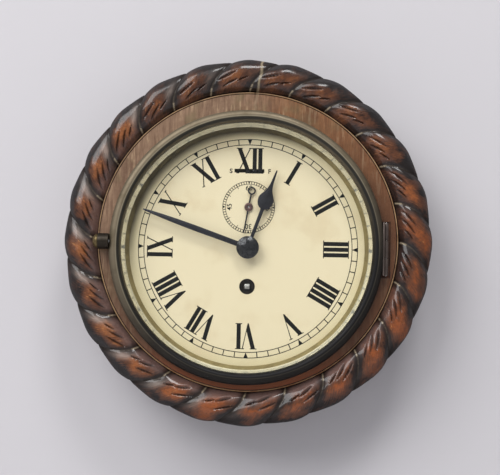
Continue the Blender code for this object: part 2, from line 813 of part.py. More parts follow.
def build_hanger():
    at = (0, HANGER_HEIGHT, 0)
    outline = rectangle(-HANGER_LENGTH / 2, -HANGER_WIDTH / 2, HANGER_LENGTH / 2, HANGER_WIDTH / 2)
    mesh = prism(outline, GAP, GAP + HANGER_THICKNESS, [keyhole()])
    plate = piece("hanging_plate", mesh, FINISHES["bright_brass"], WALL_AXIS, at)
    cutters = gathered(hanger_screw_mesh(FIT, OVERRUN), hanger_screw_moves())
    holes = helper("hanger_screw_holes", cutters, WALL_AXIS)
    cut(plate, holes)
    steel = FINISHES["bright_steel"]
    repeated("hanging_plate_screw", hanger_screw_mesh(), hanger_screw_moves(), steel, WALL_AXIS)
    return holes


def build_back_board(hanger_holes):
    board = piece(
        "back_board",
        prism(circle(BOARD_RADIUS, RING_SIDES), 0, BOARD_THICKNESS),
        FINISHES["board_wood"],
        WALL_AXIS,
    )
    half_length = HANGER_LENGTH / 2 + GAP
    half_width = HANGER_WIDTH / 2 + GAP
    floor = HANGER_THICKNESS + 2 * GAP
    recess = helper(
        "hanger_recess",
        block((-half_length, -half_width, -OVERRUN), (half_length, half_width, floor)),
        WALL_AXIS,
        (0, HANGER_HEIGHT, 0),
    )
    pocket_half = KEYHOLE_RADIUS + GAP
    pocket_top = KEYHOLE_SLOT_RISE + KEYHOLE_SLOT_RADIUS
    pocket = helper(
        "keyhole_pocket",
        block((-pocket_half, -pocket_half, 0), (pocket_half, pocket_top, floor + KEYHOLE_POCKET_DEPTH)),
        WALL_AXIS,
        (0, HANGER_HEIGHT, 0),
    )
    cut(board, recess, pocket, hanger_holes)


# Brass case, dial and sight ring


def build_case(case_holes):
    inner = DRUM_RADIUS - DRUM_WALL
    front_inner = DRUM_FRONT_RADIUS - DRUM_WALL
    drum = turned(
        "case_drum",
        [
            (FLANGE_RADIUS, FLANGE_FACE),
            (FLANGE_RADIUS, FLANGE_BACK),
            (DRUM_FRONT_RADIUS, FLANGE_BACK),
            (DRUM_FRONT_RADIUS, DRUM_STEP - DRUM_WALL),
            (DRUM_RADIUS, DRUM_STEP - DRUM_WALL),
            (DRUM_RADIUS, DRUM_BACK),
            (inner - DRUM_LIP, DRUM_BACK),
            (inner - DRUM_LIP, DRUM_BACK + DRUM_WALL),
            (inner, DRUM_BACK + DRUM_WALL),
            (inner, DRUM_STEP),
            (front_inner, DRUM_STEP),
            (front_inner, FLANGE_FACE),
        ],
        RING_SIDES,
        FINISHES["dark_brass"],
        DIAL_AXIS,
    )
    cut(drum, case_holes)
    repeated("case_screw", case_screw_mesh(), case_screw_moves(), FINISHES["bright_steel"], DIAL_AXIS)
    holes = [circle(MOVEMENT_SCREW_SHANK_RADIUS + FIT, SCREW_SIDES, at) for at in movement_screw_places()]
    mesh = prism(
        circle(inner - GAP, RING_SIDES),
        CASE_BACK,
        CASE_BACK + CASE_BACK_THICKNESS,
        holes,
    )
    piece("case_back", mesh, FINISHES["bright_brass"], DIAL_AXIS)


def build_dial():
    slot = rectangle(-SLOT_LENGTH / 2, -SLOT_WIDTH / 2, SLOT_LENGTH / 2, SLOT_WIDTH / 2)
    holes = [
        circle(CENTRE_HOLE_RADIUS, SHAFT_SIDES),
        circle(SECONDS_HOLE_RADIUS, SCREW_SIDES, (0, SECONDS_DIAL_RISE)),
        circle(WINDING_HOLE_RADIUS, SHAFT_SIDES, (0, -WINDING_HOLE_DROP)),
        [(x, y + SLOT_RISE) for x, y in slot],
    ]
    mesh = prism(circle(DIAL_RADIUS, RING_SIDES), DIAL_BACK, DIAL_FACE, holes)
    dial = piece("dial", mesh, FINISHES["dial_paint"], DIAL_AXIS)
    top = (DIAL_BACK + DIAL_FACE) / 2
    bottom = FRONT_PLATE - DIAL_FOOT_PROUD
    foot = [(0, top), (DIAL_FOOT_RADIUS, top), (DIAL_FOOT_RADIUS, bottom), (0, bottom)]
    feet = gathered(turned_mesh(foot, SCREW_SIDES), [moved_to(x, y) for x, y in dial_foot_places()])
    unite(dial, helper("dial_feet", feet, DIAL_AXIS))
    base = DIAL_FACE + GAP
    outer = DRUM_FRONT_RADIUS - DRUM_WALL - GAP
    screw_room = DIAL_RADIUS + GAP
    turned(
        "sight_ring",
        [
            (outer, base + SIGHT_RING_HEIGHT),
            (outer, base + SIGHT_RING_STEP),
            (screw_room, base + SIGHT_RING_STEP),
            (screw_room, base),
            (DIAL_SEEN_RADIUS, base),
            (DIAL_SEEN_RADIUS + SIGHT_RING_FLARE, base + SIGHT_RING_HEIGHT),
        ],
        RING_SIDES,
        FINISHES["bright_brass"],
        DIAL_AXIS,
    )


# Bezel, glass, hinge and thumb screw


def bezel_profile():
    """A hollow half round: the outer face, the glass lip, the inner skirt and the channel."""
    crest = BEZEL_BACK + BEZEL_HEIGHT
    middle = (BEZEL_RADIUS + BEZEL_OPENING_RADIUS) / 2
    half = (BEZEL_RADIUS - BEZEL_OPENING_RADIUS) / 2
    spring_line = crest - half * 1.22
    rise = crest - spring_line
    rebate = GLASS_RADIUS + GAP
    channel = rebate + REFLECTOR_RIM
    outer_skirt = BEZEL_RADIUS - BEZEL_WALL
    slope = math.sqrt(0.5)
    return [
        (middle, crest),
        (middle + half * slope, spring_line + rise * slope),
        (BEZEL_RADIUS, spring_line),
        (BEZEL_RADIUS, BEZEL_BACK),
        (outer_skirt, BEZEL_BACK),
        (outer_skirt, spring_line),
        (middle + (half - BEZEL_WALL) * slope, spring_line + (rise - BEZEL_WALL) * slope),
        (middle, crest - BEZEL_WALL),
        (channel, spring_line + (rise - BEZEL_WALL) * slope),
        (channel, BEZEL_BACK),
        (rebate, BEZEL_BACK),
        (rebate, BEZEL_LIP),
        (BEZEL_OPENING_RADIUS, BEZEL_LIP),
        (BEZEL_OPENING_RADIUS, spring_line),
        (middle - half * slope, spring_line + rise * slope),
    ]


def hinge_flat():
    """The flat on the bezel's right edge that the hinge leaf is fixed to."""
    left = HINGE_AXIS_X - HINGE_KNUCKLE_RADIUS + HINGE_LEAF_LAP - HINGE_LEAF_THICKNESS - GAP
    half = BEZEL_RADIUS / 2
    top = BEZEL_BACK + BEZEL_HEIGHT + OVERRUN
    return block((left, -half, FLAT_RING), (BEZEL_RADIUS + OVERRUN, half, top))


def build_bezel():
    bezel = turned("bezel", bezel_profile(), RING_SIDES, FINISHES["dark_brass"], DIAL_AXIS)
    spindle_hole = helper(
        "spindle_hole",
        turned_mesh(
            [
                (0, BEZEL_RADIUS + OVERRUN),
                (bore(SPINDLE_RADIUS, SHAFT_SIDES), BEZEL_RADIUS + OVERRUN),
                (bore(SPINDLE_RADIUS, SHAFT_SIDES), BEZEL_RADIUS - BEZEL_WALL * 2),
                (0, BEZEL_RADIUS - BEZEL_WALL * 2),
            ],
            SHAFT_SIDES,
        ),
        CATCH_AXIS,
    )
    cut(bezel, helper("hinge_flat", hinge_flat(), DIAL_AXIS), spindle_hole)
    piece(
        "glass",
        prism(circle(GLASS_RADIUS, RING_SIDES), GLASS_BACK, GLASS_BACK + GLASS_THICKNESS),
        FINISHES["clear_glass"],
        DIAL_AXIS,
    )
    low = DIAL_FACE + REFLECTOR_RISE
    inner = DIAL_SEEN_RADIUS + SIGHT_RING_FLARE
    turned(
        "glass_retaining_ring",
        [
            (GLASS_RADIUS, GLASS_BACK - GAP),
            (GLASS_RADIUS, GLASS_BACK - GAP - REFLECTOR_RIM),
            (inner + REFLECTOR_WALL, low),
            (inner, low),
            (BEZEL_OPENING_RADIUS, GLASS_BACK - GAP),
        ],
        RING_SIDES,
        FINISHES["polished_rim"],
        DIAL_AXIS,
    )


def knuckles(spans):
    """Hinge knuckles along the upright hinge axis."""
    outer = HINGE_KNUCKLE_RADIUS
    inner = bore(HINGE_PIN_RADIUS, SHAFT_SIDES)
    bm = bmesh.new()
    for low, high in spans:
        mesh = prism(circle(outer, SHAFT_SIDES), low, high, [circle(inner, SHAFT_SIDES)])
        bm.from_mesh(mesh)
    return mesh_from(bm, "knuckles")


def build_hinge():
    half = HINGE_LENGTH / 2
    middle = HINGE_MIDDLE_LENGTH / 2
    steel = FINISHES["blued_steel"]
    right = -HINGE_KNUCKLE_RADIUS + HINGE_LEAF_LAP
    low = BEZEL_BACK + GAP - HINGE_AXIS_HEIGHT
    leaf = block(
        (right - HINGE_LEAF_THICKNESS, -low - HINGE_LEAF_HEIGHT, -half - GAP),
        (right, -low, half + GAP),
    )
    moving = piece("hinge_bezel_leaf", leaf, steel, HINGE_AXIS)
    ends = [(-half, -middle - GAP), (middle + GAP, half)]
    unite(moving, helper("bezel_knuckles", knuckles(ends), HINGE_AXIS))
    room = helper(
        "middle_knuckle_room",
        prism(circle(HINGE_KNUCKLE_RADIUS + GAP, SHAFT_SIDES), -middle - GAP / 2, middle + GAP / 2),
        HINGE_AXIS,
    )
    cut(moving, room)
    floor = FLAT_RING - HINGE_NOTCH_DEPTH + GAP - HINGE_AXIS_HEIGHT
    plate = floor + HINGE_LEAF_THICKNESS
    web_left = FLANGE_RADIUS + GAP - HINGE_AXIS_X
    web_right = HINGE_LEAF_THICKNESS / 2
    web_top = -HINGE_KNUCKLE_RADIUS + HINGE_LEAF_LAP
    outline = [
        (-HINGE_LEAF_REACH, -floor),
        (-HINGE_LEAF_REACH, -plate),
        (web_left, -plate),
        (web_left, -web_top),
        (web_right, -web_top),
        (web_right, -floor),
    ]
    fixed = piece("hinge_case_leaf", prism(outline, -middle, middle), steel, HINGE_AXIS)
    unite(fixed, helper("case_knuckle", knuckles([(-middle, middle)]), HINGE_AXIS))
    pin = [(0, half), (HINGE_PIN_RADIUS, half), (HINGE_PIN_RADIUS, -half), (0, -half)]
    turned("hinge_pin", pin, SHAFT_SIDES, FINISHES["bright_steel"], HINGE_AXIS, closed=False)


def build_catch():
    lug_outer = DRUM_FRONT_RADIUS + DRUM_WALL + GAP * 2
    tip = lug_outer + LUG_THICKNESS - DRUM_WALL + GAP
    knob_start = BEZEL_RADIUS + 2 * GAP
    spindle_end = knob_start + SPINDLE_IN_KNOB
    spindle = [
        (0, spindle_end),
        (SPINDLE_RADIUS, spindle_end),
        (SPINDLE_RADIUS, tip),
        (0, tip),
    ]
    turned("catch_spindle", spindle, SHAFT_SIDES, FINISHES["bright_steel"], CATCH_AXIS, closed=False)
    end = knob_start + KNOB_LENGTH
    barrel = knob_start + KNOB_LENGTH * KNOB_BARREL_SHARE
    dome = end - barrel
    hole = bore(SPINDLE_RADIUS, SHAFT_SIDES)
    knob = [
        (0, end),
        (KNOB_RADIUS * 0.5, barrel + dome * 0.87),
        (KNOB_RADIUS * 0.87, barrel + dome * 0.5),
        (KNOB_RADIUS, barrel),
        (KNOB_RADIUS, knob_start),
        (hole, knob_start),
        (hole, spindle_end + GAP),
        (0, spindle_end + GAP),
    ]
    turned("catch_knob", knob, SHAFT_SIDES * 2, FINISHES["dark_brass"], CATCH_AXIS, closed=False)
    low = (-LUG_WIDTH / 2, 0, BEZEL_BACK)
    lug = block(
        (-lug_outer - LUG_THICKNESS + DRUM_WALL, CATCH_RISE - LUG_WIDTH / 2, low[2]),
        (-lug_outer + DRUM_WALL, CATCH_RISE + LUG_WIDTH / 2, BEZEL_BACK + LUG_HEIGHT),
    )
    piece("catch_lug", lug, FINISHES["bright_brass"], DIAL_AXIS)


# Movement frame


def third_place():
    """The third wheel stands to the right of the line from the centre to the fourth wheel."""
    rise = (CENTRE_TO_THIRD**2 - THIRD_TO_FOURTH**2 + SECONDS_DIAL_RISE**2) / (2 * SECONDS_DIAL_RISE)
    return math.sqrt(CENTRE_TO_THIRD**2 - rise**2), rise


def click_place():
    x, y = polar(CLICK_REACH, math.radians(CLICK_ANGLE))
    return x, y - WINDING_HOLE_DROP


def movement_screw_places():
    reach = PLATE_WIDTH / 2 - PLATE_EDGE_INSET
    return [(-reach, MOVEMENT_SCREW_RISE), (reach, -MOVEMENT_SCREW_RISE)]


def dial_foot_places():
    reach = PLATE_WIDTH / 2 - PLATE_EDGE_INSET
    low = PLATE_EDGE_INSET - PLATE_BOTTOM
    return [(-reach, DIAL_FOOT_RISE), (reach, DIAL_FOOT_RISE), (0, low)]


def pillar_places():
    reach = PLATE_WIDTH / 2 - PILLAR_INSET
    low = PILLAR_INSET - PLATE_BOTTOM
    return [(side * reach, y) for side in (-1, 1) for y in (low, PILLAR_UPPER_RISE)]


def plate_outline():
    half = PLATE_WIDTH / 2
    c = PLATE_CORNER
    side = [
        (half - c, -PLATE_BOTTOM),
        (half, c - PLATE_BOTTOM),
        (half, PLATE_TOP - c),
        (half - c, PLATE_TOP),
    ]
    return mirrored(side)


def shared_plate_holes():
    return [
        round_hole(CENTRE_ARBOR_RADIUS, SHAFT_SIDES),
        round_hole(TRAIN_ARBOR_RADIUS, SHAFT_SIDES, third_place()),
        round_hole(TRAIN_ARBOR_RADIUS, SHAFT_SIDES, (0, SECONDS_DIAL_RISE)),
    ]


def build_plates():
    brass = FINISHES["bright_brass"]
    barrel = (0, -WINDING_HOLE_DROP)
    back_holes = [
        *shared_plate_holes(),
        round_hole(WINDING_PIVOT_RADIUS, SHAFT_SIDES, barrel),
        *[circle(MOVEMENT_SCREW_SHANK_RADIUS + FIT, SCREW_SIDES, at) for at in movement_screw_places()],
    ]
    front_holes = [
        *shared_plate_holes(),
        round_hole(WINDING_ARBOR_RADIUS, SHAFT_SIDES, barrel),
        *[circle(PILLAR_SPIGOT_RADIUS + FIT, SCREW_SIDES, at) for at in pillar_places()],
        circle(CLICK_SCREW_RADIUS + FIT, SCREW_SIDES, click_place()),
        *[circle(DIAL_FOOT_RADIUS + FIT, SCREW_SIDES, at) for at in dial_foot_places()],
    ]
    back = prism(plate_outline(), BACK_PLATE, BACK_PLATE + PLATE_THICKNESS, back_holes)
    front = prism(plate_outline(), FRONT_PLATE, FRONT_PLATE_FACE, front_holes)
    plate = piece("back_plate", back, brass, DIAL_AXIS)
    unite(plate, helper("pillars", gathered(pillar_mesh(), pillar_moves()), DIAL_AXIS))
    plate = piece("front_plate", front, brass, DIAL_AXIS)
    unite(plate, helper("minute_wheel_post", minute_post_mesh(), DIAL_AXIS, (MOTION_CENTRES, 0, 0)))


def minute_post_mesh():
    top = hour_wheel_low() + WHEEL_THICKNESS + 2 * GAP
    low = FRONT_PLATE + PLATE_THICKNESS / 2
    post = [(0, top), (MINUTE_POST_RADIUS, top), (MINUTE_POST_RADIUS, low), (0, low)]
    return turned_mesh(post, SHAFT_SIDES)


def pillar_moves():
    return [moved_to(x, y) for x, y in pillar_places()]


def pillar_mesh():
    top = FRONT_PLATE_FACE + PILLAR_SPIGOT_PROUD
    pillar = [
        (0, top),
        (PILLAR_SPIGOT_RADIUS, top),
        (PILLAR_SPIGOT_RADIUS, FRONT_PLATE - GAP),
        (PILLAR_RADIUS, FRONT_PLATE - GAP),
        (PILLAR_RADIUS, PLATES_INSIDE - PLATE_THICKNESS / 2),
        (0, PLATES_INSIDE - PLATE_THICKNESS / 2),
    ]
    return turned_mesh(pillar, SCREW_SIDES)


def build_fixings():
    steel = FINISHES["bright_steel"]
    base = FRONT_PLATE_FACE + GAP
    hole = circle(PILLAR_SPIGOT_RADIUS + FIT, SCREW_SIDES)
    nut = prism(circle(NUT_RADIUS, NUT_SIDES), base, base + NUT_HEIGHT, [hole])
    repeated("pillar_nut", nut, pillar_moves(), steel, DIAL_AXIS)
    screw = screw_profile(
        MOVEMENT_SCREW_HEAD_RADIUS,
        MOVEMENT_SCREW_HEAD_HEIGHT,
        MOVEMENT_SCREW_SHANK_RADIUS,
        CASE_BACK_THICKNESS + PLATE_THICKNESS + GAP,
    )
    backs = [facing_back(x, y, CASE_BACK - GAP) for x, y in movement_screw_places()]
    repeated("movement_screw", turned_mesh(screw, SCREW_SIDES), backs, steel, DIAL_AXIS)


# Going train


def wheel(outline, low, thickness, hub_radius, windows=()):
    hole = round_hole(hub_radius, SHAFT_SIDES)
    return prism(outline, low, low + thickness, [hole, *windows])


def module_of(distance, teeth, leaves):
    return 2 * distance / (teeth + leaves)


def train_arbor(outline, pinion, seat, radius, low, high):
    """An arbor from low to high, with its pinion and the seat of its wheel as (low, high) spans."""
    spans = [(low, None, radius), (*pinion, None), (*seat, WHEEL_SEAT_RADIUS), (None, high, radius)]
    if seat[0] < pinion[0]:
        spans[1], spans[2] = spans[2], spans[1]
    filled = [(low, spans[1][0], radius), spans[1]]
    if spans[2][0] > spans[1][1]:
        filled.append((spans[1][1], spans[2][0], radius))
    filled += [spans[2], (spans[2][1], high, radius)]
    return stepped(outline, filled)


def build_barrel():
    brass = FINISHES["bright_brass"]
    steel = FINISHES["bright_steel"]
    at = (0, -WINDING_HOLE_DROP, 0)
    back = BARREL_FRONT - BARREL_HEIGHT
    inner = BARREL_RADIUS - BARREL_WALL
    arbor_hole = bore(WINDING_ARBOR_RADIUS, SHAFT_SIDES)
    drum = [
        (BARREL_RADIUS, BARREL_FRONT),
        (BARREL_RADIUS, back),
        (inner, back),
        (inner, BARREL_FRONT - BARREL_WALL),
        (arbor_hole, BARREL_FRONT - BARREL_WALL),
        (arbor_hole, BARREL_FRONT),
    ]
    barrel = turned("going_barrel", drum, SHAFT_SIDES * 2, brass, DIAL_AXIS, at)
    lid_hole = round_hole(WINDING_PIVOT_RADIUS, SHAFT_SIDES)
    lid = prism(circle(inner - GAP, SHAFT_SIDES * 2), back + GAP, back + GAP + BARREL_WALL, [lid_hole])
    piece("barrel_lid", lid, brass, DIAL_AXIS, at)
    module = module_of(WINDING_HOLE_DROP, GREAT_TEETH, CENTRE_LEAVES)
    teeth = toothed(GREAT_TEETH, module * GREAT_TEETH / 2, module, TOOTH_SHARES, math.pi / 2)
    great = wheel(teeth, GREAT_WHEEL_BACK, GREAT_WHEEL_THICKNESS, WINDING_ARBOR_RADIUS)
    unite(barrel, helper("great_wheel", great, DIAL_AXIS, at))
    core_low = back + BARREL_WALL + 2 * GAP
    core_high = BARREL_FRONT - BARREL_WALL - GAP
    spring = prism(
        ribbon(WINDING_CORE_RADIUS + GAP, inner - GAP, SPRING_STRIP, SPRING_TURNS),
        core_low + GAP,
        core_high - GAP,
    )
    piece("mainspring", spring, FINISHES["spring_steel"], DIAL_AXIS, at)
    spans = [
        (BACK_PLATE, core_low, circle(WINDING_PIVOT_RADIUS, SHAFT_SIDES)),
        (core_low, core_high, circle(WINDING_CORE_RADIUS, SHAFT_SIDES)),
        (core_high, square_start(), circle(WINDING_ARBOR_RADIUS, SHAFT_SIDES)),
        (square_start(), DIAL_FACE - WINDING_TIP_BEHIND_DIAL, square_ring()),
    ]
    piece("winding_arbor", lofted(spans), steel, DIAL_AXIS, at)


def square_start():
    return FRONT_PLATE_FACE + 2 * GAP + RATCHET_THICKNESS


def square_ring():
    """A square with as many corners as a shaft has sides."""
    half = WINDING_SQUARE / 2
    ring = []
    for x, y in circle(1, SHAFT_SIDES):
        reach = half / max(abs(x), abs(y))
        ring.append((x * reach, y * reach))
    return ring


def lofted(spans):
    """A stack of lengths, each with its own ring of corners."""
    bm = bmesh.new()
    rings = []
    for low, high, loop in spans:
        for height in (low, high):
            rings.append([bm.verts.new((x, y, height)) for x, y in loop])
    for lower, upper in zip(rings, rings[1:]):
        for i in range(len(lower)):
            j = (i + 1) % len(lower)
            bm.faces.new((lower[i], lower[j], upper[j], upper[i]))
    bm.faces.new(reversed(rings[0]))
    bm.faces.new(rings[-1])
    return mesh_from(bm, "lofted")


def ribbon(inner, outer, strip, turns, start=0.0):
    """The outline of a flat spring wound from an inner to an outer radius."""
    count = turns * SPRING_STEPS + 1
    outside = []
    inside = []
    for i in range(count):
        share = i / (count - 1)
        radius = inner + strip + (outer - inner - strip) * share
        angle = start + math.tau * turns * share
        outside.append(polar(radius, angle))
        inside.append(polar(radius - strip, angle))
    return outside + inside[::-1]


def build_train():
    brass = FINISHES["bright_brass"]
    steel = FINISHES["bright_steel"]
    third = third_place()
    fourth = (0, SECONDS_DIAL_RISE)
    towards_third = math.atan2(third[1], third[0])
    towards_fourth = math.atan2(fourth[1] - third[1], fourth[0] - third[0])
    great_module = module_of(WINDING_HOLE_DROP, GREAT_TEETH, CENTRE_LEAVES)
    centre_module = module_of(CENTRE_TO_THIRD, CENTRE_TEETH, THIRD_LEAVES)
    third_module = module_of(THIRD_TO_FOURTH, THIRD_TEETH, FOURTH_LEAVES)
    low = BACK_PLATE

    leaves = toothed(
        CENTRE_LEAVES,
        great_module * CENTRE_LEAVES / 2,
        great_module,
        TOOTH_SHARES,
        gap_towards(-math.pi / 2, CENTRE_LEAVES),
    )
    pinion = (GREAT_WHEEL_BACK - GAP, GREAT_WHEEL_BACK + GREAT_WHEEL_THICKNESS + GAP)
    seat = (pinion[1], CENTRE_WHEEL_BACK + WHEEL_THICKNESS)
    high = DIAL_FACE + MINUTE_HAND_LIFT + MINUTE_HAND_THICKNESS + BOSS_HEIGHT / 2
    arbor = train_arbor(leaves, pinion, seat, CENTRE_ARBOR_RADIUS, low, high)
    piece("centre_arbor", arbor, steel, DIAL_AXIS)
    radius = centre_module * CENTRE_TEETH / 2
    teeth = toothed(CENTRE_TEETH, radius, centre_module, TOOTH_SHARES, towards_third)
    windows = crossings(radius * 0.25, radius * 0.85, 4, radius * 0.12)
    mesh = wheel(teeth, CENTRE_WHEEL_BACK, WHEEL_THICKNESS, WHEEL_SEAT_RADIUS, windows)
    piece("centre_wheel", mesh, brass, DIAL_AXIS)

    leaves = toothed(
        THIRD_LEAVES,
        centre_module * THIRD_LEAVES / 2,
        centre_module,
        TOOTH_SHARES,
        gap_towards(towards_third + math.pi, THIRD_LEAVES),
    )
    pinion = (CENTRE_WHEEL_BACK - GAP, CENTRE_WHEEL_BACK - GAP + PINION_HEIGHT)
    seat = (THIRD_WHEEL_BACK, THIRD_WHEEL_BACK + WHEEL_THICKNESS + GAP)
    arbor = train_arbor(leaves, pinion, seat, TRAIN_ARBOR_RADIUS, low, FRONT_PLATE_FACE)
    piece("third_arbor", arbor, steel, DIAL_AXIS, (*third, 0))
    radius = third_module * THIRD_TEETH / 2
    teeth = toothed(THIRD_TEETH, radius, third_module, TOOTH_SHARES, towards_fourth)
    windows = crossings(radius * 0.25, radius * 0.82, 4, radius * 0.12)
    mesh = wheel(teeth, THIRD_WHEEL_BACK, WHEEL_THICKNESS, WHEEL_SEAT_RADIUS, windows)
    piece("third_wheel", mesh, brass, DIAL_AXIS, (*third, 0))

    leaves = toothed(
        FOURTH_LEAVES,
        third_module * FOURTH_LEAVES / 2,
        third_module,
        TOOTH_SHARES,
        gap_towards(towards_fourth + math.pi, FOURTH_LEAVES),
    )
    pinion = (THIRD_WHEEL_BACK - GAP, THIRD_WHEEL_BACK - GAP + PINION_HEIGHT)
    seat = (contrate_web_back(), contrate_web_back() + CONTRATE_WEB + GAP)
    high = DIAL_FACE + SECONDS_HAND_LIFT + SECONDS_HAND_THICKNESS
    arbor = train_arbor(leaves, pinion, seat, TRAIN_ARBOR_RADIUS, low, high)
    piece("fourth_arbor", arbor, steel, DIAL_AXIS, (*fourth, 0))
    wheel_object = piece("contrate_wheel", contrate_mesh(), brass, DIAL_AXIS, (*fourth, 0))
    hole = prism(
        round_hole(WHEEL_SEAT_RADIUS, SHAFT_SIDES),
        contrate_web_back() - OVERRUN,
        contrate_web_back() + CONTRATE_WEB + OVERRUN,
    )
    cut(wheel_object, helper("contrate_bore", hole, DIAL_AXIS, (*fourth, 0)))


def contrate_module():
    return 2 * CONTRATE_RADIUS / CONTRATE_TEETH


def contrate_root():
    return CONTRATE_PITCH_HEIGHT + ROOT_SHARE * contrate_module()


def contrate_web_back():
    return contrate_root() + GAP


def contrate_mesh():
    """A crown wheel: its teeth stand on the back of its rim, towards the wall."""
    tip = CONTRATE_PITCH_HEIGHT - TIP_SHARE * contrate_module()
    front = contrate_web_back() + CONTRATE_WEB
    inner = CONTRATE_RADIUS - CONTRATE_TOOTH_LENGTH / 2
    outer = CONTRATE_RADIUS + CONTRATE_TOOTH_LENGTH / 2
    count = 2 * CONTRATE_TEETH
    angles = [math.pi / 2 + math.tau * i / count for i in range(count)]
    crown = [tip if i % 2 else contrate_root() for i in range(count)]
    rows = (
        (outer, [front] * count),
        (outer, crown),
        (inner, crown),
        (inner, [contrate_web_back()] * count),
    )
    bm = bmesh.new()
    rings = [
        [bm.verts.new((*polar(radius, angle), height)) for angle, height in zip(angles, heights)]
        for radius, heights in rows
    ]
    for upper, lower in zip(rings, rings[1:]):
        for i in range(count):
            j = (i + 1) % count
            bm.faces.new((upper[i], lower[i], lower[j], upper[j]))
    bm.faces.new(rings[0])
    bm.faces.new(reversed(rings[-1]))
    return mesh_from(bm, "contrate")


# Winding click and motion work


def build_winding_work():
    at = (0, -WINDING_HOLE_DROP, 0)
    low = FRONT_PLATE_FACE + GAP
    high = low + RATCHET_THICKNESS
    levels = (RATCHET_RADIUS - RATCHET_DEPTH, RATCHET_RADIUS)
    teeth = tooth_loop(RATCHET_TEETH, levels, RATCHET_SHARES, math.radians(CLICK_ANGLE))
    mesh = wheel(teeth, low, RATCHET_THICKNESS, WINDING_ARBOR_RADIUS)
    piece("ratchet_wheel", mesh, FINISHES["bright_steel"], DIAL_AXIS, at)

    x, y = click_place()
    tangent = RATCHET_RADIUS + GAP
    along = math.radians(CLICK_ANGLE) + math.pi - math.asin(tangent / CLICK_REACH)
    nose = math.sqrt(CLICK_REACH**2 - tangent**2)
    hole = round_hole(CLICK_SCREW_RADIUS, SHAFT_SIDES)
    mesh = prism(spun(click_outline(nose), along), low, high, [hole])
    piece("click", mesh, FINISHES["bright_steel"], DIAL_AXIS, (x, y, 0))
    screw = [
        (0, high + GAP + RATCHET_THICKNESS),
        (CLICK_WIDTH / 2, high + GAP + RATCHET_THICKNESS),
        (CLICK_WIDTH / 2, high + GAP),
        (CLICK_SCREW_RADIUS, high + GAP),
        (CLICK_SCREW_RADIUS, FRONT_PLATE),
        (0, FRONT_PLATE),
    ]
    steel = FINISHES["bright_steel"]
    turned("click_screw", screw, SCREW_SIDES, steel, DIAL_AXIS, (x, y, 0), closed=False)
    spring = spun(click_spring_outline(nose), along)
    mesh = prism(spring, low, low + RATCHET_THICKNESS)
    piece("click_spring", mesh, FINISHES["spring_steel"], DIAL_AXIS, (x, y, 0))


def click_outline(nose):
    """The click from its screw to its nose, just clear of the ratchet's tips on its inner side."""
    half = CLICK_WIDTH / 2
    tail = arc(half, 90, 270, SCREW_SIDES)
    return [(nose, 0), (nose / 2, GAP), *tail, (nose - half, -half)]


def click_spring_outline(nose):
    """A strip from its foot past the click's screw, leaning away so that the click can lift."""
    edge = CLICK_WIDTH / 2 + GAP
    strip = edge + CLICK_SPRING_THICKNESS
    foot = edge + CLICK_WIDTH / 2
    end = nose * 0.7
    lean = nose * CLICK_LEAN_SHARE
    heel = -CLICK_REACH / 2
    return [
        (heel, -edge),
        (0, -edge),
        (end, -edge - lean),
        (end, -strip - lean),
        (0, -strip),
        (heel / 2, -strip),
        (heel / 2, -foot),
        (heel, -foot),
    ]


def minute_wheel_low():
    return FRONT_PLATE_FACE + 2 * GAP


def hour_wheel_low():
    return minute_wheel_low() + WHEEL_THICKNESS + GAP + MOTION_GAP


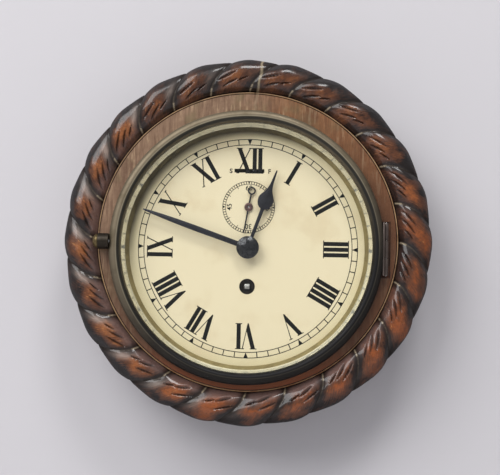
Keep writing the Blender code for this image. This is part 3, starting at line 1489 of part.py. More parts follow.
def build_motion_work():
    brass = FINISHES["bright_brass"]
    steel = FINISHES["bright_steel"]
    low = FRONT_PLATE_FACE + GAP
    cannon_module = module_of(MOTION_CENTRES, MINUTE_TEETH, CANNON_LEAVES)
    hour_module = module_of(MOTION_CENTRES, HOUR_TEETH, MINUTE_LEAVES)
    leaves = toothed(CANNON_LEAVES, cannon_module * CANNON_LEAVES / 2, cannon_module, TOOTH_SHARES)
    wheel_low = minute_wheel_low()
    leaves_high = wheel_low + WHEEL_THICKNESS + GAP
    hour_low = hour_wheel_low()
    hand = DIAL_FACE + MINUTE_HAND_LIFT
    cannon = stepped(
        leaves,
        [
            (low, leaves_high, None),
            (leaves_high, hand - GAP, CANNON_RADIUS),
            (hand - GAP, hand + MINUTE_HAND_THICKNESS, CANNON_SEAT_RADIUS),
        ],
    )
    cannon_object = piece("cannon_pinion", cannon, steel, DIAL_AXIS)
    hole = prism(
        round_hole(CENTRE_ARBOR_RADIUS, SHAFT_SIDES), low - OVERRUN, hand + MINUTE_HAND_THICKNESS + OVERRUN
    )
    cut(cannon_object, helper("cannon_bore", hole, DIAL_AXIS))

    at = (MOTION_CENTRES, 0, 0)
    teeth = toothed(
        MINUTE_TEETH,
        cannon_module * MINUTE_TEETH / 2,
        cannon_module,
        TOOTH_SHARES,
        gap_towards(math.pi, MINUTE_TEETH),
    )
    mesh = wheel(teeth, wheel_low, WHEEL_THICKNESS, MINUTE_POST_RADIUS)
    minute = piece("minute_wheel", mesh, brass, DIAL_AXIS, at)
    leaves = toothed(
        MINUTE_LEAVES,
        hour_module * MINUTE_LEAVES / 2,
        hour_module,
        TOOTH_SHARES,
        gap_towards(math.pi, MINUTE_LEAVES),
    )
    pinion = prism(
        leaves,
        wheel_low + WHEEL_THICKNESS / 2,
        hour_low + WHEEL_THICKNESS + GAP,
        [round_hole(MINUTE_POST_RADIUS, SHAFT_SIDES)],
    )
    unite(minute, helper("minute_pinion", pinion, DIAL_AXIS, at))

    teeth = toothed(HOUR_TEETH, hour_module * HOUR_TEETH / 2, hour_module, TOOTH_SHARES)
    inner = bore(CANNON_RADIUS, SHAFT_SIDES)
    hand = DIAL_FACE + HOUR_HAND_LIFT
    mesh = prism(teeth, hour_low, hour_low + WHEEL_THICKNESS, [circle(inner, SHAFT_SIDES)])
    hour = piece("hour_wheel", mesh, brass, DIAL_AXIS)
    pipe = [
        (HOUR_SEAT_RADIUS, hand + HOUR_HAND_THICKNESS),
        (HOUR_SEAT_RADIUS, hand - GAP),
        (HOUR_PIPE_RADIUS, hand - GAP),
        (HOUR_PIPE_RADIUS, hour_low + WHEEL_THICKNESS / 2),
        (inner, hour_low + WHEEL_THICKNESS / 2),
        (inner, hand + HOUR_HAND_THICKNESS),
    ]
    unite(hour, helper("hour_pipe", turned_mesh(pipe, SHAFT_SIDES, True), DIAL_AXIS))


# Hands


def hour_hand_outline():
    """A spade: a stem, a rounded body and a long concave point."""
    side = [(HOUR_HAND_LENGTH * w, HOUR_HAND_LENGTH * y) for y, w in HOUR_HAND_SHAPE_SHARES]
    stem = side[0][0]
    start = math.degrees(math.asin(stem / HOUR_HAND_HUB))
    hub = arc(HOUR_HAND_HUB, -90, 90 - start, SCREW_SIDES)[1:]
    return mirrored([*hub, *side])


def minute_hand_outline():
    """A long pointer that tapers from the hub to its tip."""
    half = MINUTE_HAND_WIDTH / 2
    start = math.degrees(math.asin(half / MINUTE_HAND_HUB))
    hub = arc(MINUTE_HAND_HUB, -90, 90 - start, SCREW_SIDES)[1:]
    tip = [
        (MINUTE_HAND_TIP_WIDTH / 2, MINUTE_HAND_LENGTH - MINUTE_HAND_TIP_WIDTH),
        (MINUTE_HAND_TIP_WIDTH / 4, MINUTE_HAND_LENGTH),
    ]
    return mirrored([*hub, *tip])


def seconds_hand_outline():
    """A thin pointer with a round hub, and a tail that ends in a ring."""
    half = SECONDS_HAND_WIDTH / 2
    hub_lift = math.degrees(math.asin(half / SECONDS_HUB_RADIUS))
    ring_lift = math.degrees(math.asin(half / SECONDS_RING_RADIUS))
    ring_centre = (0, SECONDS_RING_RADIUS - SECONDS_TAIL - SECONDS_RING_RADIUS * 0.2)
    side = [
        *arc(SECONDS_RING_RADIUS, -90, 90 - ring_lift, SCREW_SIDES, ring_centre)[1:],
        *arc(SECONDS_HUB_RADIUS, hub_lift - 90, 90 - hub_lift, SCREW_SIDES),
        (half / 2, SECONDS_HAND_LENGTH),
    ]
    return mirrored(side), circle(SECONDS_RING_RADIUS - SECONDS_RING_WALL, SCREW_SIDES, ring_centre)


def build_hands():
    blued = FINISHES["blued_steel"]
    low = DIAL_FACE + HOUR_HAND_LIFT
    outline = turn_outline(hour_hand_outline(), HOUR_HAND_ANGLE)
    hole = circle(HOUR_SEAT_RADIUS + FIT, SHAFT_SIDES)
    piece("hour_hand", prism(outline, low, low + HOUR_HAND_THICKNESS, [hole]), blued, DIAL_AXIS)
    low = DIAL_FACE + MINUTE_HAND_LIFT
    outline = turn_outline(minute_hand_outline(), MINUTE_HAND_ANGLE)
    hole = circle(CANNON_SEAT_RADIUS + FIT, CANNON_LEAVES * len(TOOTH_SHARES))
    piece("minute_hand", prism(outline, low, low + MINUTE_HAND_THICKNESS, [hole]), blued, DIAL_AXIS)
    low = DIAL_FACE + SECONDS_HAND_LIFT
    outline, ring = seconds_hand_outline()
    outline = turn_outline(outline, SECONDS_HAND_ANGLE)
    holes = [turn_outline(ring, SECONDS_HAND_ANGLE), circle(TRAIN_ARBOR_RADIUS + FIT, SHAFT_SIDES)]
    mesh = prism(outline, low, low + SECONDS_HAND_THICKNESS, holes)
    piece("seconds_hand", mesh, blued, DIAL_AXIS, (0, SECONDS_DIAL_RISE, 0))
    build_boss()


def build_boss():
    """The domed cap that holds the minute hand on the centre arbor."""
    low = DIAL_FACE + MINUTE_HAND_LIFT + MINUTE_HAND_THICKNESS + GAP
    hole = CENTRE_ARBOR_RADIUS + FIT
    roof = low + BOSS_HEIGHT / 2
    dome = [
        (BOSS_RADIUS * math.sin(a), low + BOSS_RIM + (BOSS_HEIGHT - BOSS_RIM) * math.cos(a))
        for a in (math.radians(d) for d in (0, 30, 60, 90))
    ]
    profile = [*dome, (BOSS_RADIUS, low), (hole, low), (hole, roof), (0, roof)]
    turned("hand_boss", profile, SHAFT_SIDES * 2, FINISHES["blued_steel"], DIAL_AXIS, closed=False)


# Platform escapement: drawn upright, x to the right, y away from the viewer and z up


def build_platform():
    brass = FINISHES["bright_brass"]
    to_back = BALANCE_DEPTH - BACK_PLATE
    to_front = FRONT_PLATE_FACE - BALANCE_DEPTH
    outline = rectangle(-PLATFORM_HALF_WIDTH, -to_front, PLATFORM_HALF_WIDTH, to_back)
    escape_y = BALANCE_DEPTH - ESCAPE_DEPTH
    pallet_y = BALANCE_DEPTH - PALLET_DEPTH
    holes = [
        round_hole(STAFF_RADIUS, SCREW_SIDES),
        round_hole(ESCAPE_ARBOR_RADIUS, SHAFT_SIDES, (0, escape_y)),
        round_hole(PALLET_ARBOR_RADIUS, SCREW_SIDES, (0, pallet_y)),
    ]
    mesh = prism(outline, PLATFORM_RISE, PLATFORM_TOP, holes)
    piece("platform_plate", mesh, brass, BALANCE_AXIS)
    build_potence(brass)
    build_train_cock(brass)


def side_prism(outline, half_width):
    """An outline in (depth from the wall, rise) made a prism across the clock."""
    mesh = prism(outline, -half_width, half_width)
    turn = Matrix(((0, 0, 1, 0), (-1, 0, 0, 0), (0, 1, 0, 0), (0, 0, 0, 1)))
    mesh.transform(turn @ Matrix.Translation((-BALANCE_DEPTH, 0, 0)))
    mesh.flip_normals() if turn.determinant() < 0 else None
    return mesh


def upright_drill(name, radius, depth, low, high):
    hole = prism(round_hole(radius, SHAFT_SIDES), low - OVERRUN, high + OVERRUN)
    return helper(name, hole, BALANCE_AXIS, (0, BALANCE_DEPTH - depth, 0))


def build_potence(brass):
    """The bracket under the platform that holds the escape arbor's lower pivot."""
    top = PLATFORM_RISE - GAP
    foot = top - POTENCE_DROP
    back = POTENCE_BACK_DEPTH
    front = ESCAPE_DEPTH + ESCAPE_ARBOR_RADIUS + POTENCE_FOOT / 2
    outline = [
        (back, foot - POTENCE_FOOT),
        (front, foot - POTENCE_FOOT),
        (front, foot),
        (back + POTENCE_STEM, foot),
        (back + POTENCE_STEM, top),
        (back, top),
    ]
    potence = piece("escape_potence", side_prism(outline, POTENCE_HALF_WIDTH), brass, BALANCE_AXIS)
    drill = upright_drill(
        "potence_hole", ESCAPE_ARBOR_RADIUS, ESCAPE_DEPTH, foot - POTENCE_FOOT, foot
    )
    cut(potence, drill)


def build_train_cock(brass):
    """The bridge over the escape wheel and the lever."""
    low = PLATFORM_TOP + GAP
    top = low + COCK_RISE + COCK_THICKNESS
    back = BACK_PLATE + GAP
    front = PALLET_DEPTH + PALLET_ARBOR_RADIUS + COCK_THICKNESS
    outline = [
        (back, low),
        (back + COCK_LEG, low),
        (back + COCK_LEG, top - COCK_THICKNESS),
        (front, top - COCK_THICKNESS),
        (front, top),
        (back, top),
    ]
    cock = piece("train_cock", side_prism(outline, COCK_HALF_WIDTH), brass, BALANCE_AXIS)
    cut(
        cock,
        upright_drill("escape_cock_hole", ESCAPE_ARBOR_RADIUS, ESCAPE_DEPTH, low, top),
        upright_drill("pallet_cock_hole", PALLET_ARBOR_RADIUS, PALLET_DEPTH, low, top),
    )


def build_escape():
    steel = FINISHES["bright_steel"]
    at = (0, BALANCE_DEPTH - ESCAPE_DEPTH, 0)
    foot = PLATFORM_RISE - GAP - POTENCE_DROP
    module = contrate_module()
    leaves = toothed(ESCAPE_LEAVES, ESCAPE_PITCH_RADIUS, module, NARROW_LEAF_SHARES, -math.pi / 2)
    mesh_rise = SECONDS_DIAL_RISE + CONTRATE_RADIUS
    half = CONTRATE_TOOTH_LENGTH / 2 + GAP
    wheel_low = PLATFORM_TOP + ESCAPE_WHEEL_RISE
    top = PLATFORM_TOP + GAP + COCK_RISE + COCK_THICKNESS
    hub = ESCAPE_ARBOR_RADIUS * 1.6
    arbor = stepped(
        leaves,
        [
            (foot - POTENCE_FOOT, mesh_rise - half, ESCAPE_ARBOR_RADIUS),
            (mesh_rise - half, mesh_rise + half, None),
            (mesh_rise + half, wheel_low - GAP, ESCAPE_ARBOR_RADIUS),
            (wheel_low - GAP, wheel_low + ESCAPE_WHEEL_THICKNESS + GAP, hub),
            (wheel_low + ESCAPE_WHEEL_THICKNESS + GAP, top, ESCAPE_ARBOR_RADIUS),
        ],
    )
    levels = (ESCAPE_ROOT_RADIUS, ESCAPE_RADIUS)
    teeth = tooth_loop(ESCAPE_TEETH, levels, ESCAPE_SHARES, -math.pi / 2)
    mesh = prism(teeth, wheel_low, wheel_low + ESCAPE_WHEEL_THICKNESS)
    escape = piece("escape_wheel", mesh, steel, BALANCE_AXIS, at)
    unite(escape, helper("escape_arbor", arbor, BALANCE_AXIS, at))


def lever_outline():
    """The lever from its arbor at 0: a fork towards the balance and two pallets round the wheel."""
    to_fork = BALANCE_DEPTH - PALLET_DEPTH - ROLLER_RADIUS - 2 * GAP
    to_wheel = PALLET_DEPTH - ESCAPE_DEPTH
    clear = ESCAPE_RADIUS + 2 * GAP
    span = PALLET_SPAN
    edge = to_wheel - math.sqrt(clear**2 - (span - PALLET_THICKNESS / 2) ** 2)
    half = PALLET_ARBOR_RADIUS + FIT
    side = [
        (half, -to_fork),
        (half, -PALLET_THICKNESS),
        (span + PALLET_THICKNESS / 2, GAP / 2 - PALLET_THICKNESS),
        (span + PALLET_THICKNESS / 2, edge + PALLET_THICKNESS / 2),
        (span - PALLET_THICKNESS / 2, edge),
        (span - PALLET_THICKNESS / 2, GAP / 2),
    ]
    return mirrored(side)


def build_lever():
    at = (0, BALANCE_DEPTH - PALLET_DEPTH, 0)
    low = PLATFORM_TOP + ESCAPE_WHEEL_RISE
    lever = piece(
        "pallet_lever",
        prism(lever_outline(), low, low + PALLET_THICKNESS),
        FINISHES["bright_steel"],
        BALANCE_AXIS,
        at,
    )
    top = PLATFORM_TOP + GAP + COCK_RISE + COCK_THICKNESS
    pin = prism(circle(PALLET_ARBOR_RADIUS, SCREW_SIDES), PLATFORM_RISE, top)
    unite(lever, helper("pallet_arbor", pin, BALANCE_AXIS, at))


def build_balance():
    brass = FINISHES["bright_brass"]
    rim_low = PLATFORM_TOP + BALANCE_RISE
    cock_low = PLATFORM_TOP + BALANCE_COCK_RISE
    windows = crossings(STAFF_RADIUS * 4, BALANCE_RADIUS - BALANCE_RIM, 3, BALANCE_RIM)
    outline = circle(BALANCE_RADIUS, SHAFT_SIDES * 2)
    hub = STAFF_RADIUS * 1.6
    rim = prism(outline, rim_low, rim_low + BALANCE_RIM_HEIGHT, windows)
    balance = piece("balance_wheel", rim, brass, BALANCE_AXIS)
    roller_low = rim_low - GAP - ROLLER_HEIGHT
    staff = [
        (0, cock_low + BALANCE_COCK_THICKNESS),
        (STAFF_RADIUS, cock_low + BALANCE_COCK_THICKNESS),
        (STAFF_RADIUS, rim_low + BALANCE_RIM_HEIGHT + GAP),
        (hub, rim_low + BALANCE_RIM_HEIGHT + GAP),
        (hub, rim_low - GAP),
        (ROLLER_RADIUS, rim_low - GAP),
        (ROLLER_RADIUS, roller_low),
        (STAFF_RADIUS, roller_low),
        (STAFF_RADIUS, PLATFORM_RISE),
        (0, PLATFORM_RISE),
    ]
    unite(balance, helper("balance_staff", turned_mesh(staff, SCREW_SIDES), BALANCE_AXIS))
    low = rim_low + BALANCE_RIM_HEIGHT + 2 * GAP
    coil = ribbon(HAIRSPRING_INNER_RADIUS, HAIRSPRING_RADIUS, HAIRSPRING_STRIP, HAIRSPRING_TURNS)
    mesh = prism(coil, low, low + HAIRSPRING_HEIGHT)
    piece("hairspring", mesh, FINISHES["spring_steel"], BALANCE_AXIS)


def build_balance_cock():
    """An L-shaped cock: a leg beside the balance and an arm over it."""
    low = PLATFORM_TOP + GAP
    arm = PLATFORM_TOP + BALANCE_COCK_RISE
    top = arm + BALANCE_COCK_THICKNESS
    leg = BALANCE_RADIUS + 2 * GAP
    reach = -STAFF_RADIUS * 5
    outline = [
        (leg, low),
        (leg + BALANCE_COCK_LEG, low),
        (leg + BALANCE_COCK_LEG, top),
        (reach, top),
        (reach, arm),
        (leg, arm),
    ]
    front = BALANCE_DEPTH + BALANCE_COCK_HALF_WIDTH
    back = BALANCE_DEPTH - BALANCE_COCK_HALF_WIDTH
    cock = piece("balance_cock", prism(outline, back, front), FINISHES["bright_brass"], DIAL_AXIS)
    index_top = index_low() + INDEX_THICKNESS + GAP
    boss = prism(circle(BALANCE_BOSS_RADIUS, SHAFT_SIDES), arm + BALANCE_COCK_THICKNESS / 2, index_top)
    unite(cock, helper("cock_boss", boss, BALANCE_AXIS))
    cut(cock, upright_drill("cock_hole", STAFF_RADIUS, BALANCE_DEPTH, arm, arm))


def index_low():
    return PLATFORM_TOP + BALANCE_COCK_RISE + BALANCE_COCK_THICKNESS + GAP


def build_index():
    """The regulator's pointer, whose tip moves in the slot between S and F."""
    tip = DIAL_FACE + INDEX_BEYOND_DIAL - BALANCE_DEPTH
    half = INDEX_WIDTH / 2
    lift = math.degrees(math.asin(half / INDEX_RING_RADIUS))
    ring = arc(INDEX_RING_RADIUS, -90, 90 - lift, SCREW_SIDES)[1:]
    outline = mirrored([*ring, (half, tip - half), (half / 2, tip)])
    outline = [(x, -y) for x, y in turn_outline(outline, INDEX_ANGLE)][::-1]
    hole = round_hole(BALANCE_BOSS_RADIUS, SHAFT_SIDES)
    mesh = prism(outline, index_low(), index_low() + INDEX_THICKNESS, [hole])
    piece("regulator_index", mesh, FINISHES["bright_steel"], BALANCE_AXIS)


def build_clock():
    case_holes = build_surround()
    build_back_board(build_hanger())
    build_case(case_holes)
    build_dial()
    build_bezel()
    build_hinge()
    build_catch()
    build_plates()
    build_fixings()
    build_barrel()
    build_train()
    build_winding_work()
    build_motion_work()
    build_hands()
    build_platform()
    build_escape()
    build_lever()
    build_balance()
    build_balance_cock()
    build_index()


clear_scene()
PARTS = new_collection("marine_clock")
HELPERS = new_collection("cutters")
FINISHES = make_finishes()
WALL_AXIS = empty_axis("wall_axis", rotation=(math.pi / 2, 0, 0))
DIAL_AXIS = empty_axis("dial_axis", WALL_AXIS, (0, -BRASS_DROP, 0))
UPRIGHT = (-math.pi / 2, 0, 0)
HINGE_AXIS = empty_axis("hinge_axis", DIAL_AXIS, (HINGE_AXIS_X, 0, HINGE_AXIS_HEIGHT), UPRIGHT)
BALANCE_AXIS = empty_axis("balance_axis", DIAL_AXIS, (0, 0, BALANCE_DEPTH), UPRIGHT)
CATCH_AXIS = empty_axis("catch_axis", DIAL_AXIS, (0, CATCH_RISE, CATCH_AXIS_HEIGHT), (0, -math.pi / 2, 0))
build_clock()
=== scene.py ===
"""Looks for a marine clock in a carved rope surround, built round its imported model."""

import json
import logging
import math
from dataclasses import dataclass
from enum import Enum
from typing import Callable, Iterable, Sequence

import bpy
from mathutils import Matrix, Vector

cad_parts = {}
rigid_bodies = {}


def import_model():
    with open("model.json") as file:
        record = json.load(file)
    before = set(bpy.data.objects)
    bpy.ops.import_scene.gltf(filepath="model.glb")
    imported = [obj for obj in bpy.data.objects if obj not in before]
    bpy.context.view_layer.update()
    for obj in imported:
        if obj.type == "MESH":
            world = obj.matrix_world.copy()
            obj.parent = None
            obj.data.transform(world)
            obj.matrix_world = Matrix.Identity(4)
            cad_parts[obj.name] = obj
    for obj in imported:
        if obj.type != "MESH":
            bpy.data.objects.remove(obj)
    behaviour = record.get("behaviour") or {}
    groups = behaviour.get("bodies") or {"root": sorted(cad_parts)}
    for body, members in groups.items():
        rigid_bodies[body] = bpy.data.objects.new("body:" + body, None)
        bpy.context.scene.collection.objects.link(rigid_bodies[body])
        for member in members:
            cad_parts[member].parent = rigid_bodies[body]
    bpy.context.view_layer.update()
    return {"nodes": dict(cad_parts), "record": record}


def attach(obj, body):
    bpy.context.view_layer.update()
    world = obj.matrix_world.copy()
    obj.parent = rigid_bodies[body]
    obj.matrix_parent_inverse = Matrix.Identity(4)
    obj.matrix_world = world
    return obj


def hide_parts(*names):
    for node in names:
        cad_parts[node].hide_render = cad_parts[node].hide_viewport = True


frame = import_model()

LOG = logging.getLogger("marine_clock")
MM = 0.001
BRASS_DROP = 5.7
DIAL_FACE = 49.0
CREST_AT = 112.3
JOINT_AT = 3.5
SECONDS_AT = (0.0, 35.5)
WINDING_DROP = 33.3
RING_STEPS = 288
DISC_STEPS = 192
SMOOTH_ANGLE = math.radians(38)
SHARP_ANGLE = math.radians(40)
Point = tuple[float, float]


class Slot(Enum):
    """The record's material slots."""

    CARVED_WOOD = "carved_wood"
    BOARD_WOOD = "board_wood"
    DARK_BRASS = "dark_brass"
    BRIGHT_BRASS = "bright_brass"
    POLISHED_RIM = "polished_rim"
    DIAL_PAINT = "dial_paint"
    BLUED_STEEL = "blued_steel"
    BRIGHT_STEEL = "bright_steel"
    SPRING_STEEL = "spring_steel"
    CLEAR_GLASS = "clear_glass"


class Body(Enum):
    """The moving bodies that the pieces ride on."""

    CASE = "case"
    BEZEL = "glazed_bezel"
    KNOB = "thumb_screw_knob"
    CENTRE = "centre_arbor"
    HOUR = "hour_work"
    FOURTH = "fourth_arbor"
    WINDING = "winding_arbor"


# Shader work


def paint(red: float, green: float, blue: float) -> tuple[float, float, float, float]:
    """Turns a colour as seen on a screen, 0 to 255, into a linear one.

    Args:
        red: Red share.
        green: Green share.
        blue: Blue share.

    Returns:
        The linear colour with full opacity.
    """
    def channel(value: float) -> float:
        """One linear channel."""
        share = value / 255
        return share / 12.92 if share <= 0.04045 else ((share + 0.055) / 1.055) ** 2.4

    return channel(red), channel(green), channel(blue), 1.0


class Wave:
    """A value running through a material, with Python's own arithmetic."""

    def __init__(self, recipe: "Recipe", socket: bpy.types.NodeSocket) -> None:
        """Wraps a socket of a recipe's tree."""
        self.recipe = recipe
        self.socket = socket

    def maths(self, operation: str, *others: "Wave | float") -> "Wave":
        """Adds one Math node.

        Args:
            operation: The Math node's operation.
            others: The remaining inputs, waves or numbers.

        Returns:
            The result as a wave.
        """
        node = self.recipe.node("ShaderNodeMath", {"operation": operation}, {0: self})
        for index, other in enumerate(others, start=1):
            self.recipe.feed(node.inputs[index], other)
        return Wave(self.recipe, node.outputs[0])

    def __add__(self, other: "Wave | float") -> "Wave":
        """Sum."""
        return self.maths("ADD", other)

    def __radd__(self, other: float) -> "Wave":
        """Sum with a number first."""
        return self.maths("ADD", other)

    def __sub__(self, other: "Wave | float") -> "Wave":
        """Difference."""
        return self.maths("SUBTRACT", other)

    def __rsub__(self, other: float) -> "Wave":
        """A number less this value."""
        return self * -1.0 + other

    def __mul__(self, other: "Wave | float") -> "Wave":
        """Product."""
        return self.maths("MULTIPLY", other)

    def __rmul__(self, other: float) -> "Wave":
        """Product with a number first."""
        return self.maths("MULTIPLY", other)

    def __pow__(self, other: float) -> "Wave":
        """Power."""
        return self.maths("POWER", other)

    def held(self) -> "Wave":
        """Keeps the value from 0 to 1."""
        return self.maths("MAXIMUM", 0.0).maths("MINIMUM", 1.0)

    def ramp(self, low: float, high: float) -> "Wave":
        """Maps low to 0 and high to 1, smoothly, and holds the ends.

        Args:
            low: The value that becomes 0.
            high: The value that becomes 1.

        Returns:
            The mapped value.
        """
        settings = {"interpolation_type": "SMOOTHSTEP"}
        node = self.recipe.node("ShaderNodeMapRange", settings, {0: self, 1: low, 2: high})
        return Wave(self.recipe, node.outputs[0])


class Recipe:
    """Builds one material's nodes."""

    def __init__(self, name: str) -> None:
        """Starts an empty material.

        Args:
            name: The material's name.
        """
        self.material = bpy.data.materials.new(name)
        self.material.use_nodes = True
        self.tree = self.material.node_tree
        self.tree.nodes.clear()
        self.output = self.tree.nodes.new("ShaderNodeOutputMaterial")

    def feed(self, target: bpy.types.NodeSocket, source: object) -> None:
        """Links or sets one input.

        Args:
            target: The input socket.
            source: A wave, a socket, a number or a colour.
        """
        if isinstance(source, Wave):
            source = source.socket
        if isinstance(source, bpy.types.NodeSocket):
            self.tree.links.new(source, target)
        else:
            target.default_value = source

    def node(self, kind: str, settings: dict | None = None, inputs: dict | None = None) -> bpy.types.Node:
        """Adds any node.

        Args:
            kind: The node's type.
            settings: Its properties, set first.
            inputs: Values or links by socket name or number.

        Returns:
            The new node.
        """
        node = self.tree.nodes.new(kind)
        for name, value in (settings or {}).items():
            setattr(node, name, value)
        for name, value in (inputs or {}).items():
            self.feed(node.inputs[name], value)
        return node

    def spot(self, stretch: tuple = (1, 1, 1)) -> Wave:
        """Object coordinates, stretched.

        Args:
            stretch: Scale along each axis.

        Returns:
            The coordinates.
        """
        coordinates = self.node("ShaderNodeTexCoord")
        inputs = {"Vector": coordinates.outputs["Object"], "Scale": stretch}
        mapping = self.node("ShaderNodeMapping", None, inputs)
        return Wave(self, mapping.outputs[0])

    def axis(self, name: str) -> Wave:
        """One Object coordinate, in millimetres."""
        split = self.node("ShaderNodeSeparateXYZ", None, {0: self.spot()})
        return Wave(self, split.outputs[name]) * 1000.0

    def from_axis(self) -> Wave:
        """Measures how far a place lies from the dial's axis.

        Returns:
            The distance in millimetres.
        """
        across = self.axis("X")
        rise = self.axis("Z") + BRASS_DROP
        return (across * across + rise * rise) ** 0.5

    def noise(self, scale: float, detail: float = 3.0, roughness: float = 0.55, where: Wave | None = None) -> Wave:
        """A noise value around one half.

        Args:
            scale: Cells per metre.
            detail: Octaves.
            roughness: Weight of the fine octaves.
            where: Coordinates, plain Object ones by default.

        Returns:
            The noise.
        """
        inputs = {"Vector": where or self.spot(), "Scale": scale, "Detail": detail, "Roughness": roughness}
        return Wave(self, self.node("ShaderNodeTexNoise", None, inputs).outputs[0])

    def attribute(self, name: str) -> Wave:
        """A value stored on the piece's vertices."""
        node = self.node("ShaderNodeAttribute", {"attribute_name": name})
        return Wave(self, node.outputs["Fac"])

    def blend(self, share: object, first: object, second: object) -> Wave:
        """Mixes two colours.

        Args:
            share: How much of the second colour there is.
            first: Colour at 0.
            second: Colour at 1.

        Returns:
            The mixed colour.
        """
        node = self.node("ShaderNodeMix", {"data_type": "RGBA"}, {0: share, 6: first, 7: second})
        return Wave(self, node.outputs[2])

    def bump(self, height: Wave, distance: float, under: Wave | None = None) -> Wave:
        """Turns a height into a bumped normal.

        Args:
            height: The height, 0 to 1.
            distance: Millimetres for a height of 1.
            under: Another bump's normal below this one.

        Returns:
            The normal.
        """
        inputs = {"Height": height, "Distance": distance * MM, "Strength": 1.0}
        if under is not None:
            inputs["Normal"] = under
        return Wave(self, self.node("ShaderNodeBump", None, inputs).outputs[0])

    def coat(self, **inputs: object) -> bpy.types.Material:
        """Ends the recipe with a Principled shader.

        Args:
            inputs: Socket values by name, with underscores for spaces.

        Returns:
            The finished material.
        """
        named = {name.replace("_", " "): value for name, value in inputs.items()}
        return self.end(self.node("ShaderNodeBsdfPrincipled", None, named))

    def end(self, shader: bpy.types.Node) -> bpy.types.Material:
        """Links the last shader to the output.

        Args:
            shader: The last shader's node.

        Returns:
            The finished material.
        """
        self.tree.links.new(shader.outputs[0], self.output.inputs[0])
        return self.material


